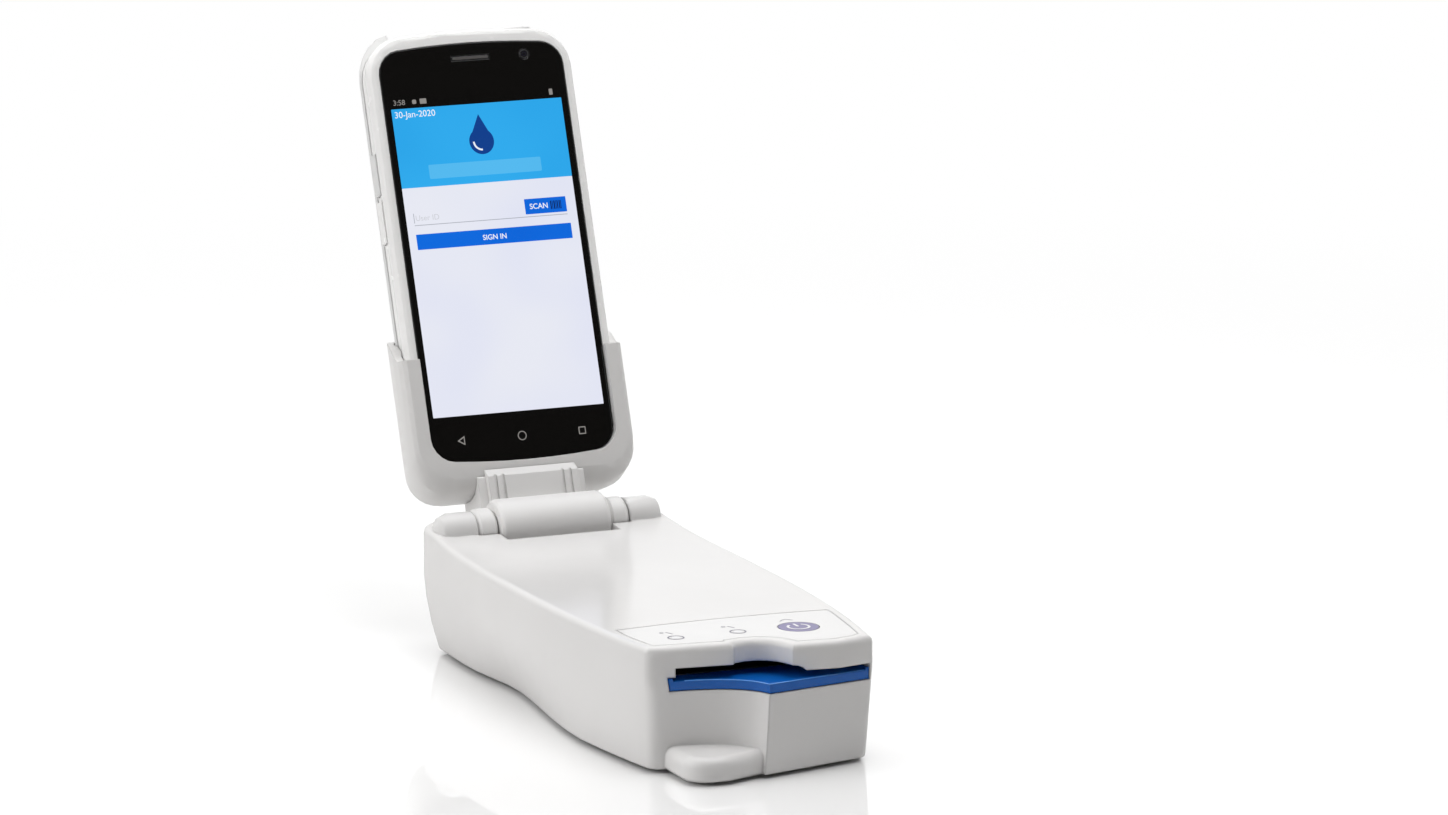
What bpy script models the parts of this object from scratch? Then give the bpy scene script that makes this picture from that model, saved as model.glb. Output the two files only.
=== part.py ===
"""Portable blood gas analyzer: a card reader with a tilting cradle and a removable handheld host.

The frame has +X to the right, +Y to the back and +Z up, and its origin at the middle of the base.
The cradle and the host are modelled upright around the hinge axis and leaned back by their empty.
"""

import math

import bmesh
import bpy
from mathutils import Matrix, Vector

# Fits and finish, shared by all pieces
FIT_GAP = 0.0003
OVERRUN = 0.004
EDGE_ROUND = 0.0006
ARC_POINTS = 6
TURN_STEPS = 36
SHARP_ANGLE = math.radians(32)

# Reader: plan and heights
HINGE_Y = 0.0568
HINGE_Z = 0.042
REAR_REACH = 0.0125
CORNER_REACH = 0.1835
REAR_HALF_WIDTH = 0.0418
WIDEST_HALF_WIDTH = 0.0443
WIDEST_REACH = 0.0800
FRONT_HALF_WIDTH = 0.0367
REAR_CORNER_RADIUS = 0.0072
TOP_Z = 0.0406
REAR_RISE = 0.0034
RISE_FROM_REACH = 0.0380
RIM_Z = 0.0009
RIM_ROUND = 0.0010
TOP_ROUND = 0.0022
WAIST_Z = 0.0270
BROW_FROM_Z = 0.0308
REAR_DRAFT = 0.0048
GRIP_DRAFT = 0.0086
FRONT_DRAFT = 0.0006
GRIP_FROM_REACH = 0.0200
GRIP_REACH = 0.0600
GRIP_TO_REACH = 0.1310
SHELL_WALL = 0.0028
FLANK_REAR_POINTS = 12
FLANK_FRONT_POINTS = 5

# Reader: front below the slot, as distances forward of the hinge axis
CORNER_FACET_X = 0.0335
CORNER_FACET_REACH = 0.1786
CREASE_X = -0.0030
CREASE_REACH = 0.1945
CREASE_FOOT_X = -0.0064
CREASE_FOOT_REACH = 0.1985
SCOOP_PULL_X = -0.0070
SCOOP_PULL_REACH = 0.1800
FACE_RIGHT_X = 0.0330
FACE_FOOT_X = 0.0292
CORNER_FOOT_DRAW = 0.0024
FACE_RIGHT_REACH = 0.1882
FACE_FOOT_REACH = 0.1900

# Reader: brow above the slot
BROW_CORNER_X = 0.0330
BROW_CORNER_REACH = 0.1770
CORNER_RUN = 0.0030
BROW_LEFT_X = -0.0095
BROW_LEFT_REACH = 0.1802
NOTCH_DEPTH_REACH = 0.1776
NOTCH_MIDDLE_X = -0.0040
NOTCH_RIGHT_PULL_X = 0.0055
BROW_RIGHT_X = 0.0075
BROW_RIGHT_REACH = 0.1888
BROW_FULL_X = 0.0230
BROW_FULL_REACH = 0.1906
BROW_END_X = 0.0342
BROW_END_REACH = 0.1882

# Reader: anti-tip tongue at the front left
TONGUE_TOP_Z = 0.0086
TONGUE_ROUND = 0.0034
TONGUE_LEFT_X = -0.0328
TONGUE_ROOT_REACH = 0.1760
TONGUE_LENGTH = 0.0247
TONGUE_TIP_X = -0.0185
TONGUE_CORNER = 0.0085
TONGUE_END_X = 0.0060
TONGUE_END_LENGTH = 0.0160

# Card slot and its bezel
BEZEL_LEFT_X = -0.0309
BEZEL_RIGHT_X = 0.0345
BEZEL_LOW_Z = 0.0266
BEZEL_HIGH_Z = 0.0295
BEZEL_REAR_REACH = 0.1705
BEZEL_INSET = 0.0003
BEZEL_END_WALL = 0.0012
BEZEL_END_TOP_Z = 0.0303
MOUTH_LEFT_Z = 0.0306
MOUTH_RIGHT_Z = 0.0318
MOUTH_TOP_Z = 0.0337
MOUTH_STEP_SHARE = 0.35
MOUTH_LEFT_X = -0.0130
MOUTH_RIGHT_X = 0.0120
SLOT_HALF_WIDTH = 0.0285
SLOT_LOW_Z = 0.0283
SLOT_HIGH_Z = 0.0336
CARD_REACH_IN = 0.0980

# Reader: cavity, base and feet
CAVITY_FROM_REACH = 0.0240
CAVITY_TO_REACH = 0.1650
CAVITY_TOP_Z = 0.0382
BASE_THICK = 0.0022
BASE_LOW_Z = 0.0014
BASE_RIM = 0.0014
BASE_REAR_REACH = -0.0070
BASE_FRONT_REACH = 0.1740
FOOT_RADIUS = 0.0050
FOOT_X = 0.0285
FOOT_REAR_REACH = 0.0010
FOOT_FRONT_REACH = 0.1600
FOOT_SINK = 0.0010
SCREW_RADIUS = 0.0026
SCREW_SINK = 0.0014
SCREW_HEAD = 0.0008
SCREW_X = 0.0290
SCREW_REACHES = (0.0185, 0.1695)
SCREW_SHANK_RADIUS = 0.0012
SCREW_TOP_Z = 0.0090

# Reader: hinge
BARREL_RADIUS = 0.0100
BARREL_HALF_LENGTH = 0.0200
BARREL_END_ROUND = 0.0022
PIN_RADIUS = 0.0022
PIN_HALF_LENGTH = 0.0340
COLLAR_RADIUS = 0.0074
COLLAR_LENGTH = 0.0070
COLLAR_END_ROUND = 0.0012
KNUCKLE_RADIUS = 0.0068
KNUCKLE_END_X = 0.0405
KNUCKLE_CHAMFER = 0.0042
POCKET_RADIUS = 0.0126
POCKET_LIP_REACH = 0.0152
POCKET_LIP_DROP = 0.0045
COLLAR_POCKET_RADIUS = 0.0080
INSERT_RADIUS = 0.0052
INSERT_LENGTH = 0.0120

# Control overlay, power button and status lights
OVERLAY_LENGTH = 0.0421
OVERLAY_REAR_REACH = BROW_FULL_REACH - OVERLAY_LENGTH
OVERLAY_REAR_BULGE = 0.0022
OVERLAY_BORDER = 0.0042
OVERLAY_THICK = 0.0003
CORNER_KEEP_SHARE = 0.995
BUTTON_X = 0.0190
BUTTON_FROM_FRONT = 0.0236
BUTTON_REACH = BROW_FULL_REACH - BUTTON_FROM_FRONT
BUTTON_RADIUS = 0.0066
BUTTON_HEIGHT = 0.0010
BUTTON_TRAVEL = 0.0004
LIGHT_RADIUS = 0.0010
LIGHT_HEIGHT = 0.0009
LIGHT_XS = (-0.0232, -0.0016)
LIGHT_FROM_FRONT = 0.0251
LIGHT_REACH = BROW_FULL_REACH - LIGHT_FROM_FRONT

# Inside the reader
BOARD_THICK = 0.0016
BOARD_Z = 0.0190
BOARD_SIDE_ROOM = 0.0008
BOARD_HALF_WIDTH = WIDEST_HALF_WIDTH - GRIP_DRAFT - SHELL_WALL - BOARD_SIDE_ROOM
BOARD_REAR_REACH = 0.0300
BOARD_FRONT_REACH = 0.1540
POST_RADIUS = 0.0025
POST_X = 0.0270
POST_REACHES = (0.0420, 0.1420)
PACK_HALF_WIDTH = 0.0210
PACK_REAR_REACH = 0.0500
PACK_FRONT_REACH = 0.1220
PACK_HEIGHT = 0.0140
DOOR_BORDER = 0.0030
DOOR_THICK = 0.0012
PACK_ROOM = 0.0010
CHIP_HEIGHT = 0.0020
CHIP_SHARES = ((-0.6, 0.12, 0.30, 0.10), (0.25, 0.14, 0.45, 0.12),
               (-0.2, 0.42, 0.35, 0.14),
               (-0.15, 0.62, 0.30, 0.10))
GUIDE_HALF_WIDTH = 0.0312
GUIDE_FLOOR = 0.0026
GUIDE_STOP = 0.0020
GUIDE_LEG_RADIUS = 0.0030
GUIDE_LEG_REACHES = (0.1060, 0.1520)
GUIDE_LEG_X = 0.0180
CONTACT_FROM_REACH = 0.1030
CONTACT_TO_REACH = 0.1150
CONTACT_HEIGHT = 0.0040
CONTACT_PIN_RADIUS = 0.0004
CONTACT_PIN_DROP = 0.0006
CONTACT_PIN_COUNT = 8
CONTACT_PIN_PITCH = 0.0025
CONTACT_STRIP_WIDTH = 0.0036
CONTACT_STRIP_HEIGHT = 0.0012
HEATER_HALF_WIDTH = 0.0120
HEATER_FROM_REACH = 0.1220
HEATER_TO_REACH = 0.1480
HEATER_THICK = 0.0010

# Charger inlet in the rear face
INLET_X = 0.0250
INLET_Z = 0.0150
INLET_RADIUS = 0.0052
INLET_BORE = 0.0032
INLET_SINK = 0.0020
INLET_DEPTH = 0.0100
INLET_FLOOR = 0.0020
INLET_PIN_RADIUS = 0.0008

# Host and cradle: the lean and the host's place, measured up from and behind the hinge axis
LEAN = math.radians(20.475)
GLASS_DEPTH = 0.0116
HOST_LOW = 0.0193
HOST_LENGTH = 0.1550
HOST_HALF_WIDTH = 0.0373
HOST_THICK = 0.0186
HOST_CORNER = 0.0120
HOST_ARCH = 0.0030
GLASS_HALF_WIDTH = 0.03355
GLASS_LOW = 0.0236
GLASS_HIGH = 0.1691
GLASS_CORNER = 0.0072
GLASS_ARCH = 0.0026
GLASS_THICK = 0.0009
DISPLAY_HALF_WIDTH = 0.03115
DISPLAY_LOW = 0.04086
DISPLAY_LENGTH = 0.1107
DISPLAY_THICK = 0.0018
WEB_THICK = 0.0012
HOST_INNER_WALL = 0.0045
HOST_DRAW = 0.0055
FRAME_RING_SHARES = ((0, 0.364), (0.027, 0.16), (0.086, 0.045), (0.19, 0), (0.28, 0.03), (0.34, 0.14), (0.505, 0.15))
REAR_RING_SHARES = ((0.522, 0.12), (0.6, 0.06), (0.74, 0.25), (0.887, 0.52), (1, 1))
REAR_SWELL_SHARES = (0, 1, 1, 0.6, 0)
HOST_CLEARANCE = 0.00035
BUMPER_SWELL = 0.0026
BUMPER_STEP = 0.0012
HOST_BOARD_HALF_WIDTH = 0.0297
HOST_BOARD_THICK = 0.0010
HOST_BOARD_LOW = 0.1080
EARPIECE_HIGH = 0.1634
EARPIECE_HALF_WIDTH = 0.0066
EARPIECE_HALF_HEIGHT = 0.0006
LENS_X = 0.0198
LENS_RADIUS = 0.0016

# Host keys
KEY_DEPTH = 0.0046
KEY_FROM_GLASS = 0.0042
KEY_BACK = 0.0012
KEY_PROUD = 0.0004
KEY_TRAVEL = 0.0005
SCAN_KEY_LOW = 0.1026
SCAN_KEY_LENGTH = 0.0145
TALK_KEY_LOW = 0.1192
TALK_KEY_LENGTH = 0.0140
VOLUME_LOW = 0.1262
VOLUME_LENGTH = 0.0180
POWER_KEY_X = 0.0200
POWER_KEY_LENGTH = 0.0100

# Host back
CELL_HALF_WIDTH = 0.0262
CELL_LOW = 0.0300
CELL_HIGH = 0.1010
CELL_THICK = 0.0072
LATCH_WIDTH = 0.0032
LATCH_LENGTH = 0.0110
LATCH_LOW = 0.0860
LATCH_TRAVEL = 0.0012
CAMERA_X = 0.0200
CAMERA_HIGH = 0.1560
CAMERA_RADIUS = 0.0048
FLASH_RADIUS = 0.0022
FLASH_X = 0.0090
WINDOW_HALF_WIDTH = 0.0110
WINDOW_HEIGHT = 0.0042
WINDOW_DEPTH = 0.0015

# Cradle
CRADLE_HALF_WIDTH = 0.0406
CRADLE_FRONT = 0.0096
CRADLE_BACK = 0.0333
CRADLE_LOW = 0.0126
CRADLE_FRONT_TOP = 0.0612
CRADLE_SIDE_TOP = 0.0658
CRADLE_BACK_TOP = 0.0712
CRADLE_RAW_TOP = 0.0850
CRADLE_CORNER = 0.0126
CRADLE_RISE = 0.0070
CRADLE_DRAW = 0.0056
CRADLE_RING_SHARES = ((0, 0.375, 1), (0.042, 0.14, 0.66), (0.143, 0, 0.29), (0.354, 0.03, 0.014), (0.692, 0.35, 0),
                      (0.903, 0.7, 0.13), (1, 1, 0.56))
ARM_HALF_WIDTH = 0.0193
ARM_FRONT = 0.0088
BLOCK_HALF_WIDTH = 0.0164
BLOCK_FRONT = 0.0064
BLOCK_SHOULDER = 0.0188
BLOCK_TOP = 0.0236
ARM_BACK = 0.0240
ARM_HEEL = 0.0085
ARM_TOP = 0.0260
GROOVE_WIDTH = 0.0009
GROOVE_DEPTH = 0.0007
GROOVE_XS = (0.0108, 0.0136)
PLUG_HALF_WIDTH = 0.0090
PLUG_DEPTH = 0.0050
PLUG_HEIGHT = 0.0036
PLUG_TIP_HALF_WIDTH = 0.0060
CRADLE_SCREW_RADIUS = 0.0024
CRADLE_SCREW_SINK = 0.0012
CRADLE_SCREW_X = 0.0120
CRADLE_SCREW_HIGH = 0.0240

# Colour, roughness and metallic value of each material
FINISHES = {
    "shell_plastic": ((0.76, 0.75, 0.745), 0.28, 0.0),
    "base_plastic": ((0.62, 0.61, 0.61), 0.5, 0.0),
    "bezel_blue": ((0.012, 0.075, 0.38), 0.3, 0.0),
    "overlay_film": ((0.80, 0.80, 0.80), 0.25, 0.0),
    "button_violet": ((0.33, 0.31, 0.60), 0.35, 0.0),
    "light_pipe": ((0.55, 0.58, 0.66), 0.2, 0.0),
    "cradle_plastic": ((0.60, 0.59, 0.58), 0.4, 0.0),
    "steel": ((0.62, 0.62, 0.63), 0.3, 1.0),
    "brass": ((0.78, 0.58, 0.24), 0.3, 1.0),
    "aluminium": ((0.75, 0.76, 0.77), 0.35, 1.0),
    "rubber": ((0.05, 0.05, 0.055), 0.8, 0.0),
    "board_green": ((0.02, 0.16, 0.07), 0.5, 0.0),
    "cell_wrap": ((0.07, 0.08, 0.10), 0.5, 0.0),
    "dark_plastic": ((0.03, 0.03, 0.033), 0.5, 0.0),
    "host_white": ((0.86, 0.86, 0.85), 0.35, 0.0),
    "host_grey": ((0.55, 0.56, 0.57), 0.5, 0.0),
    "glass_black": ((0.008, 0.007, 0.007), 0.06, 0.0),
    "display": ((0.80, 0.81, 0.90), 0.3, 0.0),
}


def clear_scene():
    for item in list(bpy.data.objects):
        bpy.data.objects.remove(item, do_unlink=True)


def new_collection(name):
    collection = bpy.data.collections.new(name)
    bpy.context.scene.collection.children.link(collection)
    return collection


clear_scene()
PARTS = new_collection("blood_gas_analyzer")
CUTTERS = new_collection("cutters")


def finish(name):
    material = bpy.data.materials.get(name)
    if material is None:
        colour, roughness, metallic = FINISHES[name]
        material = bpy.data.materials.new(name)
        material.use_nodes = True
        shader = material.node_tree.nodes["Principled BSDF"]
        shader.inputs["Base Color"].default_value = (*colour, 1.0)
        shader.inputs["Roughness"].default_value = roughness
        shader.inputs["Metallic"].default_value = metallic
    return material


def smooth(mesh):
    mesh.shade_smooth()
    mesh.set_sharp_from_angle(angle=SHARP_ANGLE)


def add_object(name, mesh, parent=None, origin=(0, 0, 0)):
    """Links a mesh whose points are given around the parent, with the object's origin at origin."""
    mesh.transform(Matrix.Translation(-Vector(origin)))
    smooth(mesh)
    item = bpy.data.objects.new(name, mesh)
    item.location = origin
    item.parent = parent
    CUTTERS.objects.link(item)
    item.hide_render = True
    item.display_type = "WIRE"
    return item


def as_part(item, material):
    """Makes an object a piece of the product: it shows, and it has its own material."""
    CUTTERS.objects.unlink(item)
    PARTS.objects.link(item)
    item.hide_render = False
    item.display_type = "TEXTURED"
    own = finish(material).copy()
    own.name = item.name
    item.data.materials.clear()
    item.data.materials.append(own)
    return item


def mesh_from(work, name):
    bmesh.ops.recalc_face_normals(work, faces=work.faces)
    mesh = bpy.data.meshes.new(name)
    work.to_mesh(mesh)
    work.free()
    return mesh


def loft(name, rings, parent=None, cap=None):
    """A solid through closed rings that all have the same number of points.

    The last ring is closed by one flat face, or by the function cap where the ring isn't flat.
    """
    work = bmesh.new()
    rows = [[work.verts.new(point) for point in ring] for ring in rings]
    count = len(rings[0])
    for low, high in zip(rows, rows[1:]):
        for i in range(count):
            j = (i + 1) % count
            work.faces.new((low[i], low[j], high[j], high[i]))
    work.faces.new(rows[0])
    if cap:
        cap(work, rows[-1])
    else:
        work.faces.new(rows[-1])
    return add_object(name, mesh_from(work, name), parent)


def box(name, low, high, parent=None, origin=(0, 0, 0)):
    low, high = Vector(low), Vector(high)
    work = bmesh.new()
    bmesh.ops.create_cube(work, size=1)
    bmesh.ops.scale(work, vec=high - low, verts=work.verts)
    bmesh.ops.translate(work, vec=(low + high) / 2, verts=work.verts)
    return add_object(name, mesh_from(work, name), parent, origin)


def rod(name, start, end, radius, parent=None, end_radius=None, segments=TURN_STEPS, origin=(0, 0, 0)):
    """A round bar, or a cone where end_radius differs, from start to end."""
    start, end = Vector(start), Vector(end)
    along = end - start
    turn = along.to_track_quat("Z", "Y").to_matrix().to_4x4()
    place = Matrix.Translation((start + end) / 2) @ turn
    work = bmesh.new()
    bmesh.ops.create_cone(work, cap_ends=True, segments=segments, radius1=radius,
                          radius2=radius if end_radius is None else end_radius,
                          depth=along.length, matrix=place)
    return add_object(name, mesh_from(work, name), parent, origin)


def turned_x(name, profile, parent=None, place=(0, 0, 0)):
    """A turned solid around X. The profile is (along, radius) pairs, from the +X end to the -X end."""
    mesh = bpy.data.meshes.new(name)
    points = [(radius, 0, along) for along, radius in profile]
    mesh.from_pydata(points, [(i, i + 1) for i in range(len(points) - 1)], [])
    item = bpy.data.objects.new(name, mesh)
    item.location = place
    item.rotation_euler = (0, math.pi / 2, 0)
    item.parent = parent
    screw = item.modifiers.new("turn", "SCREW")
    screw.axis = "Z"
    screw.steps = TURN_STEPS
    screw.render_steps = TURN_STEPS
    screw.use_merge_vertices = True
    screw.merge_threshold = 0.00001
    screw.use_smooth_shade = True
    CUTTERS.objects.link(item)
    item.hide_render = True
    item.display_type = "WIRE"
    return item


def plate(name, outline, low, high, normal="Z", parent=None, origin=(0, 0, 0)):
    """A flat outline from low to high along normal: (x, y) for Z, (x, z) for Y and (y, z) for X."""
    curve = bpy.data.curves.new(name + "_outline", "CURVE")
    curve.dimensions = "2D"
    curve.fill_mode = "BOTH"
    curve.extrude = (high - low) / 2
    spline = curve.splines.new("POLY")
    spline.points.add(len(outline) - 1)
    for point, (across, up) in zip(spline.points, outline):
        point.co = (across, up, 0, 1)
    spline.use_cyclic_u = True
    turns = {
        "Z": Matrix.Identity(4),
        "Y": Matrix.Rotation(math.pi / 2, 4, "X"),
        "X": Matrix(((0, 0, 1, 0), (1, 0, 0, 0), (0, 1, 0, 0), (0, 0, 0, 1))),
    }
    shifts = {"Z": (0, 0, 1), "Y": (0, 1, 0), "X": (1, 0, 0)}
    holder = bpy.data.objects.new(name + "_outline", curve)
    CUTTERS.objects.link(holder)
    bpy.context.view_layer.update()
    mesh = bpy.data.meshes.new_from_object(holder.evaluated_get(bpy.context.evaluated_depsgraph_get()))
    bpy.data.objects.remove(holder, do_unlink=True)
    mesh.transform(Matrix.Translation(Vector(shifts[normal]) * (low + high) / 2) @ turns[normal])
    work = bmesh.new()
    work.from_mesh(mesh)
    bpy.data.meshes.remove(mesh)
    bmesh.ops.remove_doubles(work, verts=work.verts, dist=0.000001)
    return add_object(name, mesh_from(work, name), parent, origin)


def boolean(target, tool, operation="DIFFERENCE"):
    modifier = target.modifiers.new(operation.lower() + "_" + tool.name, "BOOLEAN")
    modifier.operation = operation
    modifier.solver = "EXACT"
    modifier.object = tool
    return target


def rounded(target, width=EDGE_ROUND, segments=2, angle=math.radians(40)):
    modifier = target.modifiers.new("rounded", "BEVEL")
    modifier.width = width
    modifier.segments = segments
    modifier.limit_method = "ANGLE"
    modifier.angle_limit = angle
    return target


def blend_share(value, start, end):
    """0 before start, 1 after end and a smooth step between them."""
    share = min(max((value - start) / (end - start), 0), 1)
    return share * share * (3 - 2 * share)


def arc(centre, radius, start, end, count=ARC_POINTS):
    """Points on an arc, with angles in degrees."""
    points = []
    for i in range(count):
        angle = math.radians(start + (end - start) * i / (count - 1))
        points.append((centre[0] + radius * math.cos(angle), centre[1] + radius * math.sin(angle)))
    return points


def bend(start, pull, end, count):
    """Points on a quadratic curve from start to end."""
    points = []
    for i in range(count):
        t = i / (count - 1)
        points.append(tuple((1 - t) ** 2 * a + 2 * t * (1 - t) * b + t * t * c
                            for a, b, c in zip(start, pull, end)))
    return points


def straight(start, end, count):
    return [tuple(a + (b - a) * i / (count - 1) for a, b in zip(start, end)) for i in range(count)]


def inset(outline, distances):
    """Moves each point of a counterclockwise outline inwards by its own distance."""
    count = len(outline)
    moved = []
    for i, (x, y) in enumerate(outline):
        before = Vector(outline[i - 1])
        after = Vector(outline[(i + 1) % count])
        here = Vector((x, y))
        first = (here - before).normalized()
        second = (after - here).normalized()
        along = (first + second).normalized()
        inward = Vector((-along.y, along.x))
        stretch = 1 / max(along.dot(first), 0.5)
        moved.append(tuple(here + inward * distances[i] * stretch))
    return moved


def forward(reach):
    """The Y of a place that lies reach in front of the hinge axis."""
    return HINGE_Y - reach


def flank_half_width(reach):
    if reach < WIDEST_REACH:
        share = (WIDEST_REACH - reach) / (WIDEST_REACH + REAR_REACH)
        return WIDEST_HALF_WIDTH - (WIDEST_HALF_WIDTH - REAR_HALF_WIDTH) * share ** 2
    share = (reach - WIDEST_REACH) / (CORNER_REACH - WIDEST_REACH)
    return WIDEST_HALF_WIDTH - (WIDEST_HALF_WIDTH - FRONT_HALF_WIDTH) * share ** 2.5


def flank(side, reach_from, reach_to):
    """The reader's side in plan, from one reach to another, with a point where the grip hollow ends."""
    counts = [FLANK_REAR_POINTS, FLANK_FRONT_POINTS]
    if reach_from > reach_to:
        counts.reverse()
    reaches = [reach for reach, in straight((reach_from,), (GRIP_TO_REACH,), counts[0] + 1)]
    reaches += [reach for reach, in straight((GRIP_TO_REACH,), (reach_to,), counts[1] + 1)][1:]
    return [(side * flank_half_width(reach), forward(reach)) for reach in reaches]


FLANK_REAR_REACH = -REAR_REACH + REAR_CORNER_RADIUS
FLANK_FRONT_REACH = BROW_CORNER_REACH - CORNER_RUN


def lower_front(foot_share=0):
    """The front below the slot, left to right: corner, scoop, crease and flat face.

    It is taken at the waist for a foot share of 0, and at the rim for 1.
    """

    def lowered(high, low):
        return high + (low - high) * foot_share

    left = (-CORNER_FACET_X, forward(CORNER_FACET_REACH))
    corner_pull = (-flank_half_width(CORNER_FACET_REACH), forward(CORNER_FACET_REACH))
    crease = (lowered(CREASE_X, CREASE_FOOT_X), forward(lowered(CREASE_REACH, CREASE_FOOT_REACH)))
    scoop_pull = (SCOOP_PULL_X, forward(SCOOP_PULL_REACH))
    right = (lowered(FACE_RIGHT_X, FACE_FOOT_X), forward(lowered(FACE_RIGHT_REACH, FACE_FOOT_REACH)))
    end = (FRONT_HALF_WIDTH - lowered(0, CORNER_FOOT_DRAW), forward(CORNER_REACH))
    flank_left = (-flank_half_width(FLANK_FRONT_REACH), forward(FLANK_FRONT_REACH))
    points = bend(flank_left, corner_pull, left, 5)[1:]
    points += bend(left, scoop_pull, crease, 14)[1:]
    points += straight(crease, right, 7)[1:]
    points += bend(right, (end[0], right[1]), end, 5)[1:]
    return points


def brow_front():
    """The front above the slot, left to right: corner facet, left brow, thumb notch, right brow."""
    left = (-BROW_CORNER_X, forward(BROW_CORNER_REACH))
    corner_pull = (-flank_half_width(BROW_CORNER_REACH), forward(BROW_CORNER_REACH))
    notch_left = (BROW_LEFT_X, forward(BROW_LEFT_REACH))
    notch_deep = (NOTCH_MIDDLE_X, forward(NOTCH_DEPTH_REACH))
    notch_right = (BROW_RIGHT_X, forward(BROW_RIGHT_REACH))
    full = (BROW_FULL_X, forward(BROW_FULL_REACH))
    right = (BROW_END_X, forward(BROW_END_REACH))
    end = (FRONT_HALF_WIDTH, forward(CORNER_REACH))
    flank_left = (-flank_half_width(FLANK_FRONT_REACH), forward(FLANK_FRONT_REACH))
    points = bend(flank_left, corner_pull, left, 5)[1:]
    points += straight(left, notch_left, 7)[1:]
    points += bend(notch_left, (notch_left[0], notch_deep[1]), notch_deep, 3)[1:]
    points += bend(notch_deep, (NOTCH_RIGHT_PULL_X, notch_deep[1]), notch_right, 6)[1:]
    points += straight(notch_right, full, 4)[1:]
    points += straight(full, right, 4)[1:]
    points += bend(right, (end[0], right[1]), end, 5)[1:]
    return points


def reader_plan(front):
    """The reader's outline seen from above, counterclockwise from its rear right corner."""
    rear = HINGE_Y + REAR_REACH
    radius = REAR_CORNER_RADIUS
    width = flank_half_width(FLANK_REAR_REACH)
    points = arc((width - radius, rear - radius), radius, 0, 90)
    points += arc((radius - width, rear - radius), radius, 90, 180)
    points += flank(-1, FLANK_REAR_REACH, FLANK_FRONT_REACH)[1:]
    points += front
    points += flank(1, CORNER_REACH, FLANK_REAR_REACH)[1:-1]
    return points


def flank_draft(y):
    """How far a flank draws in towards the rim: most in the grip hollow, and hardly at all in front of it."""
    reach = HINGE_Y - y
    if reach < GRIP_REACH:
        return REAR_DRAFT + (GRIP_DRAFT - REAR_DRAFT) * blend_share(reach, GRIP_FROM_REACH, GRIP_REACH)
    straight_share = max(GRIP_TO_REACH - reach, 0) / (GRIP_TO_REACH - GRIP_REACH)
    smooth_share = blend_share(-reach, -GRIP_TO_REACH, -GRIP_REACH)
    return FRONT_DRAFT + (GRIP_DRAFT - FRONT_DRAFT) * (straight_share + smooth_share) / 2


def draft_at(x, y):
    """The draft all round: the flanks' own, which fades out over the front corners."""
    draft = flank_draft(y)
    if y < forward(FLANK_FRONT_REACH):
        draft *= blend_share(abs(x), CORNER_FACET_X, FRONT_HALF_WIDTH)
    return draft


def top_rise(y):
    """How much higher the top lies than in front. It climbs towards the rear edge."""
    share = max(RISE_FROM_REACH - (HINGE_Y - y), 0) / (RISE_FROM_REACH + REAR_REACH)
    return REAR_RISE * share ** 1.5


def risen_cap(work, row):
    """Closes the top with faces from flank to flank, as far forward as it may rise, and one flat face."""
    steps = ARC_POINTS - 1 + FLANK_REAR_POINTS
    right = [row[ARC_POINTS - 1 - i] for i in range(steps + 1)]
    left = [row[ARC_POINTS + i] for i in range(steps + 1)]
    for i in range(steps):
        work.faces.new((right[i], left[i], left[i + 1], right[i + 1]))
    work.faces.new(row[ARC_POINTS + steps:len(row) + ARC_POINTS - steps])


def reader_ring(plan, z, drawn_in, low_share):
    """A ring of the reader's outside: drawn in all round, and by the draft as far as low_share says."""
    distances = [drawn_in + draft_at(x, y) * low_share for x, y in plan]
    return [(x, y, z) for x, y in inset(plan, distances)]


def reader_outside(name):
    foot = reader_plan(lower_front(1))
    lower = reader_plan(lower_front())
    brow = reader_plan(brow_front())
    corner = RIM_ROUND * (1 - math.sin(math.radians(45)))
    rings = [reader_ring(foot, RIM_Z, RIM_ROUND, 1), reader_ring(foot, RIM_Z + corner, corner, 1),
             reader_ring(foot, RIM_Z + RIM_ROUND, 0, 1)]
    for share in (0.35, 0.7):
        middle = reader_plan(lower_front(1 - share))
        rings.append(reader_ring(middle, RIM_Z + (WAIST_Z - RIM_Z) * share, 0, (1 - share) ** 1.5))
    rings.append(reader_ring(lower, WAIST_Z, 0, 0))
    rings.append(reader_ring(brow, BROW_FROM_Z, 0, 0))
    steps = 5
    for i in range(steps):
        angle = math.pi / 2 * i / (steps - 1)
        z = TOP_Z - TOP_ROUND * (1 - math.sin(angle))
        ring = reader_ring(brow, z, TOP_ROUND * (1 - math.cos(angle)), 0)
        rings.append([(x, y, z + top_rise(y)) for x, y, z in ring])
    return loft(name, rings, cap=risen_cap)


def tongue_solid(name):
    """The rounded foot that reaches forward under the scoop."""
    root = forward(TONGUE_ROOT_REACH)
    front = root - TONGUE_LENGTH
    corner = TONGUE_CORNER
    outline = [(TONGUE_END_X, root)]
    outline.append((TONGUE_LEFT_X, root))
    outline += arc((TONGUE_LEFT_X + corner, front + corner), corner, 180, 270, 8)
    outline += straight((TONGUE_TIP_X, front), (TONGUE_END_X, root - TONGUE_END_LENGTH), 4)
    rings = []
    for z, drawn_in in ((RIM_Z, RIM_ROUND), (RIM_Z + RIM_ROUND, 0)):
        rings.append([(x, y, z) for x, y in inset(outline, [drawn_in] * len(outline))])
    steps = 5
    for i in range(steps):
        angle = math.pi / 2 * i / (steps - 1)
        z = TONGUE_TOP_Z - TONGUE_ROUND * (1 - math.sin(angle))
        drawn_in = TONGUE_ROUND * (1 - math.cos(angle))
        rings.append([(x, y, z) for x, y in inset(outline, [drawn_in] * len(outline))])
    return loft(name, rings)


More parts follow.
